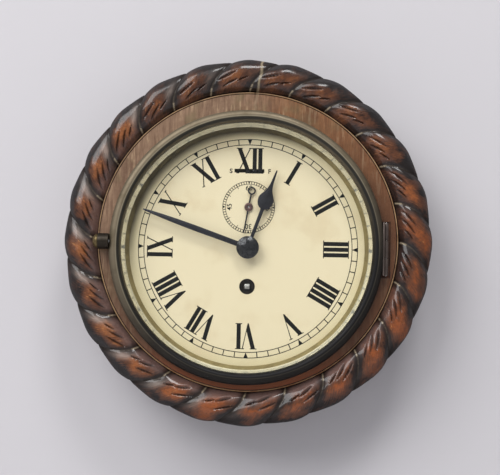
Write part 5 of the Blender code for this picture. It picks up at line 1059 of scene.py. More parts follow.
@dataclass
class RopeSurround:
    """The carved wooden surround, in two halves glued along an upright joint."""

    outer_radius: float = 158.7
    rope_width: float = 29.9
    rope_rise: float = 14.0
    rope_centre_height: float = 50.0
    rope_from: float = -50.0
    rope_step: float = 3.2
    rope_stations: int = 71
    ring_height: float = 57.0
    lobes: int = 24
    steps_per_lobe: int = 54
    sweep: float = 9.75
    phase: float = -0.5
    depth: float = 0.26
    crest_share: float = 0.42
    cut_depth: float = 0.13
    vee_width: float = 0.035
    vee_share: float = 0.14
    crease_width: float = 0.016
    inner_depth: float = 0.22
    swell: float = 0.035
    edge_relief: float = 0.36
    bore_radius: float = 112.3
    foot_radius: float = 152.0
    flat_edge: float = 127.0
    step_height: float = 45.6
    rebate_radius: float = 106.3
    rebate_height: float = 10.3
    board_radius: float = 122.0
    notch_at: tuple = (117.4, 0.0, 60.1)
    notch_size: tuple = (10.0, 10.0, 48.4)
    notch_zone: tuple = (112.3, 122.5, 24.3, 55.0)
    beads: tuple = ((129.75, -1.8), (129.5, -2.0), (129.2, -1.0), (128.8, -0.5),
                    (128.4, -0.7), (128.1, -1.4), (127.8, -1.3), (127.4, -0.5))
    bead_groove: float = -1.1
    bead_arris: tuple = (129.2, 128.8, 128.4)
    joint_at: float = JOINT_AT
    joint_gap: float = 0.02
    sides: tuple = ("left", "right")
    cuts: tuple = (
        ((0.27, 0.50), (0.30, 0.33), 7.6, 2.1),
        ((0.44, 0.26), (0.52, 0.31), 6.8, 1.9),
        ((0.70, 0.36), (0.72, 0.27), 4.8, 1.3),
    )
    strand_width: float = 38.0
    cut_from: float = 55.0
    tuck_from: float = 150.0
    marks: tuple = ("groove", "cut", "worn", "dust", "flat", "along", "lobe", "arris", "facet_glint")

    def section(self) -> list[tuple[str, float]]:
        """Lists the stations of the ring's section, from the back round to the back.

        Returns:
            A kind and its own measure for each.
        """
        stations: list[tuple[str, float]] = [("back", 130.0), ("back", 141.0), ("foot", 0.0), ("foot", 12.0)]
        stations += [("foot", 24.0), ("foot", 34.0)]
        stations += [("rope", self.rope_from + self.rope_step * i) for i in range(self.rope_stations)]
        stations += [("ring", radius) for radius, _ in self.beads]
        stations += [("flat", share / 12) for share in range(13)]
        stations += [("bore", h) for h in (56.75, 56.3, 52.0, self.step_height)]
        stations += [("step", self.rebate_radius), ("rebate", self.rebate_height)]
        stations += [("board", self.rebate_height), ("board", 0.0)]
        return stations

    def flutes(self, p: float, along: float, number: int) -> float:
        """How deep the carver's spindle cuts are at one place on a strand.

        Args:
            p: Share of the way across the strand, clockwise.
            along: Share of the way out across the rope.
            number: Which strand it is.

        Returns:
            The depth, 0 to 1.
        """
        side = math.sin(math.radians(number * 360 / self.lobes)) ** 2
        jog = 0.03 * math.sin(number * 2.4)
        turn = math.radians(20 + 32 * side + 5 * math.sin(number * 1.7))
        deepest = 0.0
        for top, flank, half, wide in self.cuts:
            across = (p - jog - top[0] - (flank[0] - top[0]) * side) * self.strand_width
            out = (along + jog - top[1] - (flank[1] - top[1]) * side) * self.rope_width
            s = (across * math.cos(turn) + out * math.sin(turn)) / half
            w = abs(out * math.cos(turn) - across * math.sin(turn))
            if abs(s) < 1:
                taper = 1 - s * s
                deepest = max(deepest, taper**0.5 * max(0.0, 1 - w / (wide * taper**0.8)))
        return deepest

    def rope_shape(self, angle: float, clockwise: float) -> tuple[float, float, dict[str, float]]:
        """The rope's surface at one place.

        Args:
            angle: Degrees round the rope's section, 0 outwards and 90 to the viewer.
            clockwise: Degrees round the clock.

        Returns:
            Radius, height and the marks stored for the finish.
        """
        half = self.rope_width / 2
        a = math.radians(angle)
        along = (1 + math.cos(a)) / 2
        wrap = (180 - angle) / 180
        sweep = self.sweep * (0.7 * along**1.3 + 0.3 * wrap**2)
        if wrap > 1:
            sweep = self.sweep * (1 + 1.3 * (wrap - 1))
        turn = (clockwise - self.phase - sweep) / (360 / self.lobes)
        number = math.floor(turn)
        p = turn - number
        near = min(p, 1 - p)
        crest = self.crest_share
        lean = ((crest - p) / crest) ** 1.5 if p < crest else ((p - crest) / (1 - crest)) ** 2.3
        vee = math.exp(-((near / self.vee_width) ** 2))
        crease = math.exp(-((near / self.crease_width) ** 2))
        groove = (1 - self.vee_share) * lean + self.vee_share * vee
        rise = min(1.0, max(0.0, (along - 0.04) / 0.34))
        depth = self.depth * (self.inner_depth + (1 - self.inner_depth) * rise * rise * (3 - 2 * rise))
        depth *= 1 - self.edge_relief * max(0.0, (along - 0.7) / 0.3) ** 1.5
        cut = self.flutes(p, along, number) if angle > self.cut_from else 0.0
        shrink = 1 - depth * groove - self.cut_depth * cut
        skew = 1 + self.swell * math.sin(math.tau * (p + 0.05)) * (0.4 + 0.6 * along)
        radius = self.outer_radius - half + half * shrink * skew * math.cos(a)
        height = self.rope_centre_height + self.rope_rise * shrink * skew * math.sin(a)
        marks = {
            "groove": groove,
            "cut": cut,
            "worn": math.sin(math.pi * p) ** 0.8 * math.exp(-(((along - 0.42) / 0.34) ** 2)),
            "dust": crease * (1.0 if along < 0.2 else 0.25 * (1 - along)),
            "flat": 0.0,
            "along": along if angle > 0 else 2 - along,
            "lobe": turn,
            "arris": 0.0,
            "facet_glint": math.exp(-(((p - 0.84) / 0.10) ** 2)) * math.exp(-(((along - 0.55) / 0.22) ** 2)),
        }
        return min(radius, self.outer_radius), height, marks

    def place(self, station: tuple[str, float], clockwise: float) -> tuple[Vector, dict[str, float]]:
        """Where one station of the section lies.

        Args:
            station: Kind and measure.
            clockwise: Degrees round the clock.

        Returns:
            The place in metres and its marks.
        """
        kind, measure = station
        bore = self.bore_radius
        t = math.radians(clockwise)
        marks = dict.fromkeys(self.marks, 0.0) | {"groove": 0.4, "worn": 0.2}

        def eccentric(radius: float) -> float:
            """Distance from the wood's axis to a circle round the dial's."""
            return math.sqrt(radius**2 - (BRASS_DROP * math.sin(t)) ** 2) - BRASS_DROP * math.cos(t)

        if kind == "rope":
            radius, height, marks = self.rope_shape(measure, clockwise)
            # Where the rope tucks in against the flat ring the groove mark rises, which paints shade there.
            if measure > self.tuck_from:
                marks["groove"] = max(marks["groove"], (measure - self.tuck_from) / 30)
        elif kind == "back":
            radius, height = measure, 0.0
            marks |= {"along": 0.9, "worn": 0.3}
        elif kind == "foot":
            radius, height = self.foot_radius, measure
            marks |= {"along": 0.8, "worn": 0.3}
        elif kind == "ring":
            lift = dict(self.beads)[measure]
            radius, height = measure, self.ring_height + lift
            # The bead's quirk takes the full groove mark, so the wood is painted dark there as shade.
            marks["flat"] = 0.0 if lift < self.bead_groove else 1.0
            marks["groove"] = 1.0 if lift < self.bead_groove else 0.0
            marks["arris"] = 1.0 if measure in self.bead_arris else 0.0
        elif kind == "flat":
            marks["flat"] = 1.0
            marks["arris"] = 0.7 * max(0.0, measure - 0.8) * 5
            radius = self.flat_edge + (eccentric(bore) + 0.7 - self.flat_edge) * measure
            height = self.ring_height - 0.5 * (1 - measure) - 0.1 * math.sin(math.pi * measure)
        elif kind == "bore":
            marks["flat"] = 1.0 if measure > 52 else 0.3
            radius = eccentric(bore) + (0.2 if measure > 56.5 else 0.0)
            height = measure
        elif kind == "step":
            radius, height = eccentric(measure), self.step_height
        elif kind == "rebate":
            radius, height = eccentric(self.rebate_radius), measure
        else:
            radius, height = self.board_radius, measure
        return Bench.seat(radius * math.sin(t), radius * math.cos(t), height, 0.0), marks

    def ring(self) -> bpy.types.Object:
        """Shapes the whole ring from a grid of faces rolled round the clock.

        Returns:
            The ring.
        """
        stations = self.section()
        around = self.lobes * self.steps_per_lobe
        bpy.ops.object.select_all(action="DESELECT")
        bpy.ops.mesh.primitive_grid_add(x_subdivisions=around, y_subdivisions=len(stations), size=1)
        obj = bpy.context.object
        mesh = obj.data
        stored = {name: [0.0] * len(mesh.vertices) for name in self.marks}
        for index, vertex in enumerate(mesh.vertices):
            column = round((vertex.co.x + 0.5) * around) % around
            row = round((vertex.co.y + 0.5) * len(stations)) % len(stations)
            vertex.co, marks = self.place(stations[row], 360 * column / around)
            for name in self.marks:
                stored[name][index] = marks[name]
        for name in self.marks:
            layer = mesh.attributes.new(name, "FLOAT", "POINT")
            layer.data.foreach_set("value", stored[name])
        bpy.ops.object.mode_set(mode="EDIT")
        return Bench.done(obj)

    def half(self, ring: bpy.types.Object, side: int, name: str) -> bpy.types.Object:
        """Saws one half off a copy of the ring.

        Args:
            ring: The whole ring.
            side: -1 for the left and 1 for the right.
            name: The half's name.

        Returns:
            The half.
        """
        obj = ring.copy()
        obj.data = ring.data.copy()
        bpy.context.collection.objects.link(obj)
        obj.name = name
        obj.data.name = name
        return Bench.saw(obj, self.joint_at + side * self.joint_gap / 2, -side)

    def notch(self, obj: bpy.types.Object) -> None:
        """Cuts the hinge's notch into the right half.

        Args:
            obj: The right half.
        """
        bpy.ops.object.select_all(action="DESELECT")
        bpy.ops.mesh.primitive_cube_add(size=1, location=Bench.seat(*self.notch_at))
        cutter = bpy.context.object
        cutter.scale = tuple(size * MM for size in self.notch_size)
        bpy.ops.object.transform_apply(location=False, rotation=False, scale=True)
        Bench.cut(obj, cutter)
        flat, groove = (obj.data.attributes[name].data for name in ("flat", "groove"))
        near, far, reach, height = self.notch_zone
        for index, vertex in enumerate(obj.data.vertices):
            x, y, z = vertex.co / MM
            if near < x < far and abs(z) < reach and -y > height:
                flat[index].value, groove[index].value = 1.0, 0.0

    def build(self, finishes: Finishes) -> None:
        """Builds and dresses both halves.

        Args:
            finishes: The materials.
        """
        ring = self.ring()
        for side, name in zip((-1, 1), self.sides):
            obj = self.half(ring, side, f"rope_surround_{name}")
            if side > 0:
                self.notch(obj)
            fit(obj, finishes[Slot.CARVED_WOOD], Slot.CARVED_WOOD, Body.CASE, f"surround_{name}_half")
        bpy.data.objects.remove(ring, do_unlink=True)


@dataclass
class GlazedBezel:
    """The hinged ring, its glass, the polished ring that holds the glass, and the sight ring."""

    radius: float = 118.0
    opening: float = 107.7
    off_centre: Point = (-0.9, 0.0)
    crest_at: float = CREST_AT
    crest_height: float = 69.6
    back: float = 59.1
    spring_line: float = 64.05
    wall: float = 1.4
    flat_at: float = 115.3
    web: float = 111.5
    seat_radius: float = 110.3
    seat_height: float = 63.1
    glass_radius: float = 110.0
    glass_low: float = 60.8
    glass_high: float = 62.8
    slope_steps: int = 14

    def curve(self, inset: float) -> tuple[list[Point], list[Point]]:
        """The outer and inner slopes of the bezel's section.

        Args:
            inset: How far inside the outer face the curve runs.

        Returns:
            The slope from the outer skirt to the crest, and from the crest to the opening.
        """
        rise = self.crest_height - self.spring_line - inset
        outer, inner = self.radius - inset, self.opening + inset
        out, back = [], []
        for i in range(self.slope_steps + 1):
            t = i / self.slope_steps
            s, c = math.sin(t * math.pi / 2), math.cos(t * math.pi / 2)
            out.append((self.crest_at + (outer - self.crest_at) * c**0.86, self.spring_line + rise * s**1.04))
            back.append((self.crest_at - (self.crest_at - inner) * s**0.9, self.spring_line + rise * c**1.04))
        return out, back[1:]

    def build(self, finishes: Finishes) -> None:
        """Builds and dresses the ring, the glass and the inner rings.

        Args:
            finishes: The materials.
        """
        out, back = self.curve(0)
        hollow_out, hollow_in = self.curve(self.wall)
        hollow = [p for p in reversed(hollow_out + hollow_in) if p[0] > self.web]
        profile = [*out, *back, (self.opening, self.seat_height), (self.seat_radius, self.seat_height),
                   (self.seat_radius, self.back), (self.web, self.back), (self.web, hollow[0][1]), *hollow,
                   (self.radius - self.wall, self.back), (self.radius, self.back)]
        bezel = Bench.lathe("bezel_ring", profile, centre=self.off_centre)
        Bench.saw(bezel, self.flat_at, 1)
        fit(bezel, finishes[Slot.DARK_BRASS], Slot.DARK_BRASS, Body.BEZEL, "bezel")
        edge, low, high = self.glass_radius, self.glass_low, self.glass_high
        disc = [(0, high), (edge - 0.3, high), (edge, high - 0.3), (edge, low + 0.3), (edge - 0.3, low), (0, low)]
        glass = Bench.lathe("glass_disc", disc, DISC_STEPS, self.off_centre)
        fit(glass, finishes[Slot.CLEAR_GLASS], Slot.CLEAR_GLASS, Body.BEZEL, "glass")
        slope = [(105.0 + 2.9 * (1.08 * t - 0.08 * t * t), 53.6 + 5.3 * t) for t in (i / 10 for i in range(11))]
        rim = Bench.lathe("glass_ring", [(109.8, 60.5), (109.8, 59.3), (106.0, 53.6), *slope, (107.9, 60.5)],
                          centre=self.off_centre)
        fit(rim, finishes[Slot.POLISHED_RIM], Slot.POLISHED_RIM, Body.BEZEL, "glass_retaining_ring")
        sight_slope = [(101.7 + 3.4 * t, 49.6 + 3.7 * t**0.9) for t in (i / 8 for i in range(9))]
        sight = Bench.lathe("sight_ring_turned", [(101.7, 49.3), *sight_slope, (105.7, 53.3), (105.7, 50.1),
                                                  (109.6, 50.1), (109.6, 49.3)], centre=self.off_centre)
        fit(sight, finishes.sight, Slot.BRIGHT_BRASS, Body.CASE, "sight_ring")


@dataclass
class DialPlate:
    """The painted dial with its holes."""

    radius: float = 106.5
    back: float = 47.8
    slot_rise: float = 67.3
    slot_length: float = 25.9
    slot_width: float = 3.3
    holes: tuple = ((0.0, 0.0, 3.4), (*SECONDS_AT, 1.2), (0.0, -WINDING_DROP, 6.55))
    hole_steps: int = 64
    feet: tuple = ((-31.0, 20.0), (31.0, 20.0), (0.0, -61.0))
    foot_radius: float = 1.3
    foot_end: float = 41.4

    def hole(self, x: float, y: float, radius: float) -> bpy.types.Object:
        """Makes a cutter that also eases the hole's edge.

        Args:
            x: The hole's middle across.
            y: The hole's middle upwards.
            radius: Its radius.

        Returns:
            The cutter.
        """
        profile = [(0, 46), (radius, 46), (radius, 48.6), (radius + 0.25, 49.0), (radius + 0.8, 51), (0, 51)]
        return Bench.lathe("hole", profile, self.hole_steps, (x, y))

    def build(self, finishes: Finishes) -> None:
        """Builds and dresses the dial.

        Args:
            finishes: The materials.
        """
        edge = [(self.radius - 0.3, DIAL_FACE), (self.radius, DIAL_FACE - 0.3), (self.radius, self.back)]
        dial = Bench.lathe("dial_plate", [(0, DIAL_FACE), (60, DIAL_FACE), *edge, (0, self.back)], DISC_STEPS)
        cutters = [self.hole(*place) for place in self.holes]
        half, deep = self.slot_length / 2, self.slot_width / 2
        corners = [(-half, -deep), (half, -deep), (half, deep), (-half, deep)]
        cutters.append(Bench.plates("slot", [[(x, y + self.slot_rise) for x, y in corners]], 46, 51))
        for cutter in cutters:
            Bench.cut(dial, cutter)
        bpy.ops.object.shade_smooth_by_angle(angle=SMOOTH_ANGLE)
        foot = [(0, 47.9), (self.foot_radius, 47.9), (self.foot_radius, self.foot_end), (0, self.foot_end)]
        feet = [Bench.lathe("foot", foot, 24, place) for place in self.feet]
        dial = Bench.join("dial_plate", [dial, *feet])
        fit(dial, finishes[Slot.DIAL_PAINT], Slot.DIAL_PAINT, Body.CASE, "dial")


@dataclass
class DialPrint:
    """The minute and seconds tracks, the numerals and the regulator's letters."""

    low: float = DIAL_FACE - 0.02
    high: float = DIAL_FACE + 0.06
    outer_line: float = 94.8
    inner_line: float = 90.0
    line: float = 0.66
    tick: float = 0.8
    foot: float = 65.0
    head: float = 87.3
    bar: float = 3.55
    gap: float = 1.3
    hairline: float = 0.85
    serif: float = 1.1
    serif_line: float = 0.75
    v_width: float = 11.6
    x_width: float = 12.6
    letter_gap: float = 1.1
    wedge: float = 2.05
    type_scale: float = 1.38
    figure_size: float = 4.4
    figure_reach: float = 16.6
    figure_fat: float = 0.06
    letters: tuple = (("S", 3.9, (-15.9, 66.8), 0), ("F", 3.9, (17.4, 66.8), 0))
    letter_fat: float = 0.14
    seconds_centre: Point = SECONDS_AT
    seconds_outer: float = 22.5
    seconds_inner: float = 20.1
    numerals: tuple = ("XII", "I", "II", "III", "IIII", "V", "VI", "VII", "VIII", "IX", "X", "XI")

    def circle(self, radius: float, width: float, centre: Point = (0.0, 0.0)) -> bpy.types.Object:
        """Prints one circle.

        Args:
            radius: Middle of the line.
            width: Its width.
            centre: The circle's centre.

        Returns:
            The printed line.
        """
        a, b = radius - width / 2, radius + width / 2
        profile = [(a, self.low), (a, self.high - 0.01), (b, self.high - 0.01), (b, self.low)]
        return Bench.lathe("line", profile, 240, centre)

    def minute_track(self) -> bpy.types.Object:
        """Prints the circles, the minute ticks and the hour wedges.

        Returns:
            The printed track.
        """
        t, w = self.tick / 2, self.wedge
        tick = [(-t, self.inner_line), (t, self.inner_line), (t, self.outer_line), (-t, self.outer_line)]
        wedge = [(-w, self.outer_line + 0.2), (0, self.inner_line - 0.1), (w, self.outer_line + 0.2)]
        marks = [turned(wedge if i % 5 == 0 else tick, 6 * i) for i in range(60)]
        parts = [self.circle(self.outer_line, self.line), self.circle(self.inner_line, self.line)]
        parts.append(Bench.plates("marks", marks, self.low, self.high))
        return Bench.join("minute_track", parts)

    def stroke(self, x0: float, x1: float, width: float) -> list[Point]:
        """A stroke from the foot to the head.

        Args:
            x0: Its middle at the foot.
            x1: Its middle at the head.
            width: Its width across.

        Returns:
            The outline.
        """
        w = width / 2
        return [(x0 - w, self.foot), (x0 + w, self.foot), (x1 + w, self.head), (x1 - w, self.head)]

    def serif_at(self, start: float, end: float, upper: bool) -> list[Point]:
        """A thin foot or head line.

        Args:
            start: Left end.
            end: Right end.
            upper: Whether it lies at the head.

        Returns:
            The outline.
        """
        y = self.head - self.serif_line if upper else self.foot
        return [(start, y), (end, y), (end, y + self.serif_line), (start, y + self.serif_line)]

    def numeral(self, text: str) -> tuple[list[list[Point]], list[list[Point]]]:
        """Draws one numeral, its feet at the foot radius and centred.

        Args:
            text: The numeral's letters.

        Returns:
            Outlines of its strokes and of its serifs.
        """
        strokes, serifs = [], []
        x = 0.0
        bar, over, foot, head = self.bar, self.serif, self.foot, self.head
        for number, letter in enumerate(text):
            width = {"I": bar, "V": self.v_width, "X": self.x_width}[letter]
            right = x + width
            if letter == "I":
                strokes.append(self.stroke(x + bar / 2, x + bar / 2, bar))
            elif letter == "V":
                apex, thick = x + width * 0.56, bar + 0.1
                share = (width - thick) / (width - 1.0)
                meet = (x + thick + (apex - 0.6 - x) * share, head + (foot - head) * share)
                strokes.append([(apex - 0.6, foot), (apex + 0.4, foot), meet, (x + thick, head), (x, head)])
                strokes.append([(apex - 0.1, foot), (apex + 0.4, foot + 0.3), (right, head),
                                (right - self.hairline, head)])
            else:
                strokes.append(self.stroke(right - bar / 2 - 0.3, x + bar / 2 + 0.3, bar + 0.2))
                strokes.append(self.stroke(x + 0.9, right - 0.9, self.hairline + 0.1))
            ends = {
                "I": [(x - over, x + bar + over, True), (x - over, x + bar + over, False)],
                "V": [(x - over, x + bar + over, True), (right - 2.0, right + over, True)],
                "X": [(x - 0.4, x + bar + 1.3, True), (right - 2.2, right + 0.3, True),
                      (x - 0.3, x + 2.2, False), (right - bar - 1.3, right + 0.4, False)],
            }
            serifs += [self.serif_at(*end) for end in ends[letter]]
            x += width + (self.gap if text[number:number + 2] == "II" else self.letter_gap)
        middle = (x - self.letter_gap) / 2
        thick_lines, thin_lines = ([[(px - middle, py) for px, py in outline] for outline in outlines]
                                   for outlines in (strokes, serifs))
        return thick_lines, thin_lines

    def hour_numerals(self) -> bpy.types.Object:
        """Prints the twelve numerals with their feet to the centre.

        Returns:
            The printed numerals.
        """
        strokes, serifs = [], []
        for hour, text in enumerate(self.numerals):
            thick, thin = self.numeral(text)
            strokes += [turned(outline, 30 * hour) for outline in thick]
            serifs += [turned(outline, 30 * hour) for outline in thin]
        parts = [
            Bench.plates("strokes", strokes, self.low, self.high),
            Bench.plates("serifs", serifs, self.low, self.high - 0.008),
        ]
        return Bench.join("hour_numerals", parts)

    def seconds_track(self) -> bpy.types.Object:
        """Prints the seconds circles, ticks and wedges.

        Returns:
            The printed track.
        """
        outer, inner, centre = self.seconds_outer, self.seconds_inner, self.seconds_centre
        marks = []
        for i in range(60):
            t = 0.42 if i % 5 == 0 else 0.3
            reach = inner - 2.0 if i % 5 == 0 and i % 15 else inner
            tick = [(-t, inner), (t, inner), (t, outer), (-t, outer)]
            wedge = [(-1.1, outer + 0.1), (0, inner - 0.1), (1.1, outer + 0.1)]
            marks.append(turned(wedge if i % 15 == 0 else tick, 6 * i, centre))
            if reach < inner:
                thin = [(-0.22, reach), (0.22, reach), (0.22, inner), (-0.22, inner)]
                marks.append(turned(thin, 6 * i, centre))
        parts = [self.circle(outer, 0.48, centre), self.circle(inner, 0.42, centre)]
        parts.append(Bench.plates("marks", marks, self.low, self.high))
        return Bench.join("seconds_track", parts)

    def words(self, name: str, items: Sequence[tuple[str, float, Point, float]], fat: float) -> bpy.types.Object:
        """Prints figures or letters from a plain typeface.

        Args:
            name: The piece's name.
            items: Text, height, middle and clockwise turn of each.
            fat: How much every outline is let out.

        Returns:
            The printed figures.
        """
        parts = []
        for text, size, middle, clockwise in items:
            bpy.ops.object.select_all(action="DESELECT")
            bpy.ops.object.text_add(location=(0, 0, 0))
            obj = bpy.context.object
            obj.data.body = text
            obj.data.align_x = "CENTER"
            obj.data.align_y = "CENTER"
            obj.data.size = size * self.type_scale * MM
            obj.data.extrude = (self.high - self.low) / 2 * MM
            obj.data.offset = fat * MM
            bpy.ops.object.convert(target="MESH")
            obj = bpy.context.object
            stand = Matrix.Rotation(math.radians(90), 4, "X")
            turn = Matrix.Rotation(math.radians(clockwise), 4, "Y")
            seat = Bench.seat(middle[0], middle[1], (self.high + self.low) / 2)
            obj.data.transform(Matrix.Translation(seat) @ turn @ stand)
            parts.append(obj)
        return Bench.join(name, parts)

    def build(self, finishes: Finishes) -> None:
        """Prints everything on the dial.

        Args:
            finishes: The materials.
        """
        (cx, cy), size, reach = self.seconds_centre, self.figure_size, self.figure_reach
        figures = [
            ("60", size, (cx, cy + reach), 0), ("15", size, (cx + reach, cy), 90),
            ("30", size, (cx, cy - reach), 180), ("45", size, (cx - reach, cy), 270),
        ]
        printed = [
            self.minute_track(), self.hour_numerals(), self.seconds_track(),
            self.words("seconds_figures", figures, self.figure_fat),
            self.words("regulator_letters", self.letters, self.letter_fat),
        ]
        for obj in printed:
            fit(obj, finishes.ink, Slot.DIAL_PAINT, Body.CASE)


@dataclass
class Hands:
    """The three hands and the boss over the centre."""

    hour_angle: float = 19.6
    minute_angle: float = 289.2
    seconds_angle: float = 190.1
    hour_heights: Point = (52.4, 53.4)
    minute_heights: Point = (55.2, 56.0)
    seconds_heights: Point = (50.35, 50.8)
    tail_ring: float = 14.4
    boss_low: float = 56.3
    dome_low: float = 56.8
    dome_rise: float = 3.1
    dome_radius: float = 9.75
    seconds_centre: Point = SECONDS_AT

    @staticmethod
    def both_sides(side: Sequence[Point]) -> list[Point]:
        """Mirrors a right-hand side into a whole outline."""
        return [*side, *[(-x, y) for x, y in reversed(side)]]

    def hour_outline(self) -> list[Point]:
        """Draws the spade, pointing up.

        Returns:
            Its outline.
        """
        side = arc(6.0, -80, 74, 12)
        side += [(1.55, 8), (1.5, 20), (1.55, 34), (1.9, 35.9), (3.7, 36.7), (5.2, 38.2), (6.2, 40.4)]
        side += [(6.75, 42.8), (6.8, 44.6), (6.4, 46.4), (5.5, 48.2), (4.4, 50.0), (3.4, 51.8), (2.6, 53.6)]
        side += [(2.0, 55.6), (1.45, 58.2), (1.15, 62.0), (0.95, 66.0), (0.7, 70.0), (0.5, 71.7)]
        return self.both_sides(side)

    def minute_outline(self) -> list[Point]:
        """Draws the pointer, pointing up.

        Returns:
            Its outline.
        """
        side = arc(5.6, -80, 66, 12)
        side += [(2.2, 9), (2.35, 26), (2.5, 48), (2.3, 64), (1.85, 78), (1.35, 88), (0.85, 94.5), (0.45, 96.5)]
        return self.both_sides(side)

    def seconds_parts(self) -> list[list[Point]]:
        """Draws the two strips of the seconds hand.

        Returns:
            Outlines of the pointer and of the tail.
        """
        pointer = [(0.75, 2.0), (0.6, 12), (0.45, 22.6), (-0.45, 22.6), (-0.6, 12), (-0.75, 2.0)]
        tail = [(0.7, -11.6), (0.75, -2.0), (-0.75, -2.0), (-0.7, -11.6)]
        return [pointer, tail]

    def build(self, finishes: Finishes) -> None:
        """Builds and dresses the hands and the boss.

        Args:
            finishes: The materials.
        """
        blued = finishes[Slot.BLUED_STEEL]
        hour = Bench.plates("hour_hand_spade", [turned(self.hour_outline(), self.hour_angle)], *self.hour_heights)
        Bench.bevel(hour, 0.28, 3)
        fit(hour, blued, Slot.BLUED_STEEL, Body.HOUR, "hour_hand")
        pointer = turned(self.minute_outline(), self.minute_angle)
        minute = Bench.plates("minute_hand_pointer", [pointer], *self.minute_heights)
        Bench.bevel(minute, 0.22)
        fit(minute, blued, Slot.BLUED_STEEL, Body.CENTRE, "minute_hand")
        outlines = [turned(o, self.seconds_angle, self.seconds_centre) for o in self.seconds_parts()]
        ring_at = turned([(0, -self.tail_ring)], self.seconds_angle, self.seconds_centre)[0]
        strips = Bench.plates("seconds_strips", outlines, *self.seconds_heights)
        section = [(2.1, 50.35), (2.2, 50.85), (3.4, 50.85), (3.5, 50.35)]
        ring = Bench.lathe("seconds_ring", section, 64, ring_at)
        seconds = Bench.join("seconds_hand_ringed", [strips, ring])
        fit(seconds, blued, Slot.BLUED_STEEL, Body.FOURTH, "seconds_hand")
        hub = Bench.lathe("seconds_hub", [(0.75, 50.3), (0.75, 50.9), (1.1, 51.05), (2.4, 51.2), (3.3, 51.0),
                                          (3.7, 50.6), (3.7, 50.3)], 64, self.seconds_centre)
        fit(hub, finishes.seconds, Slot.BLUED_STEEL, Body.FOURTH)
        shares = (i / 12 for i in range(12))
        dome = [(self.dome_radius * (1 - t), self.dome_low + self.dome_rise * (1 - (1 - t) ** 2)) for t in shares]
        profile = [(0, self.boss_low), (9.2, self.boss_low), (9.6, self.boss_low + 0.2), *dome]
        profile.append((0, self.dome_low + self.dome_rise))
        boss = Bench.lathe("hand_boss_dome", profile, 96)
        fit(boss, finishes.boss, Slot.BLUED_STEEL, Body.CENTRE, "hand_boss")


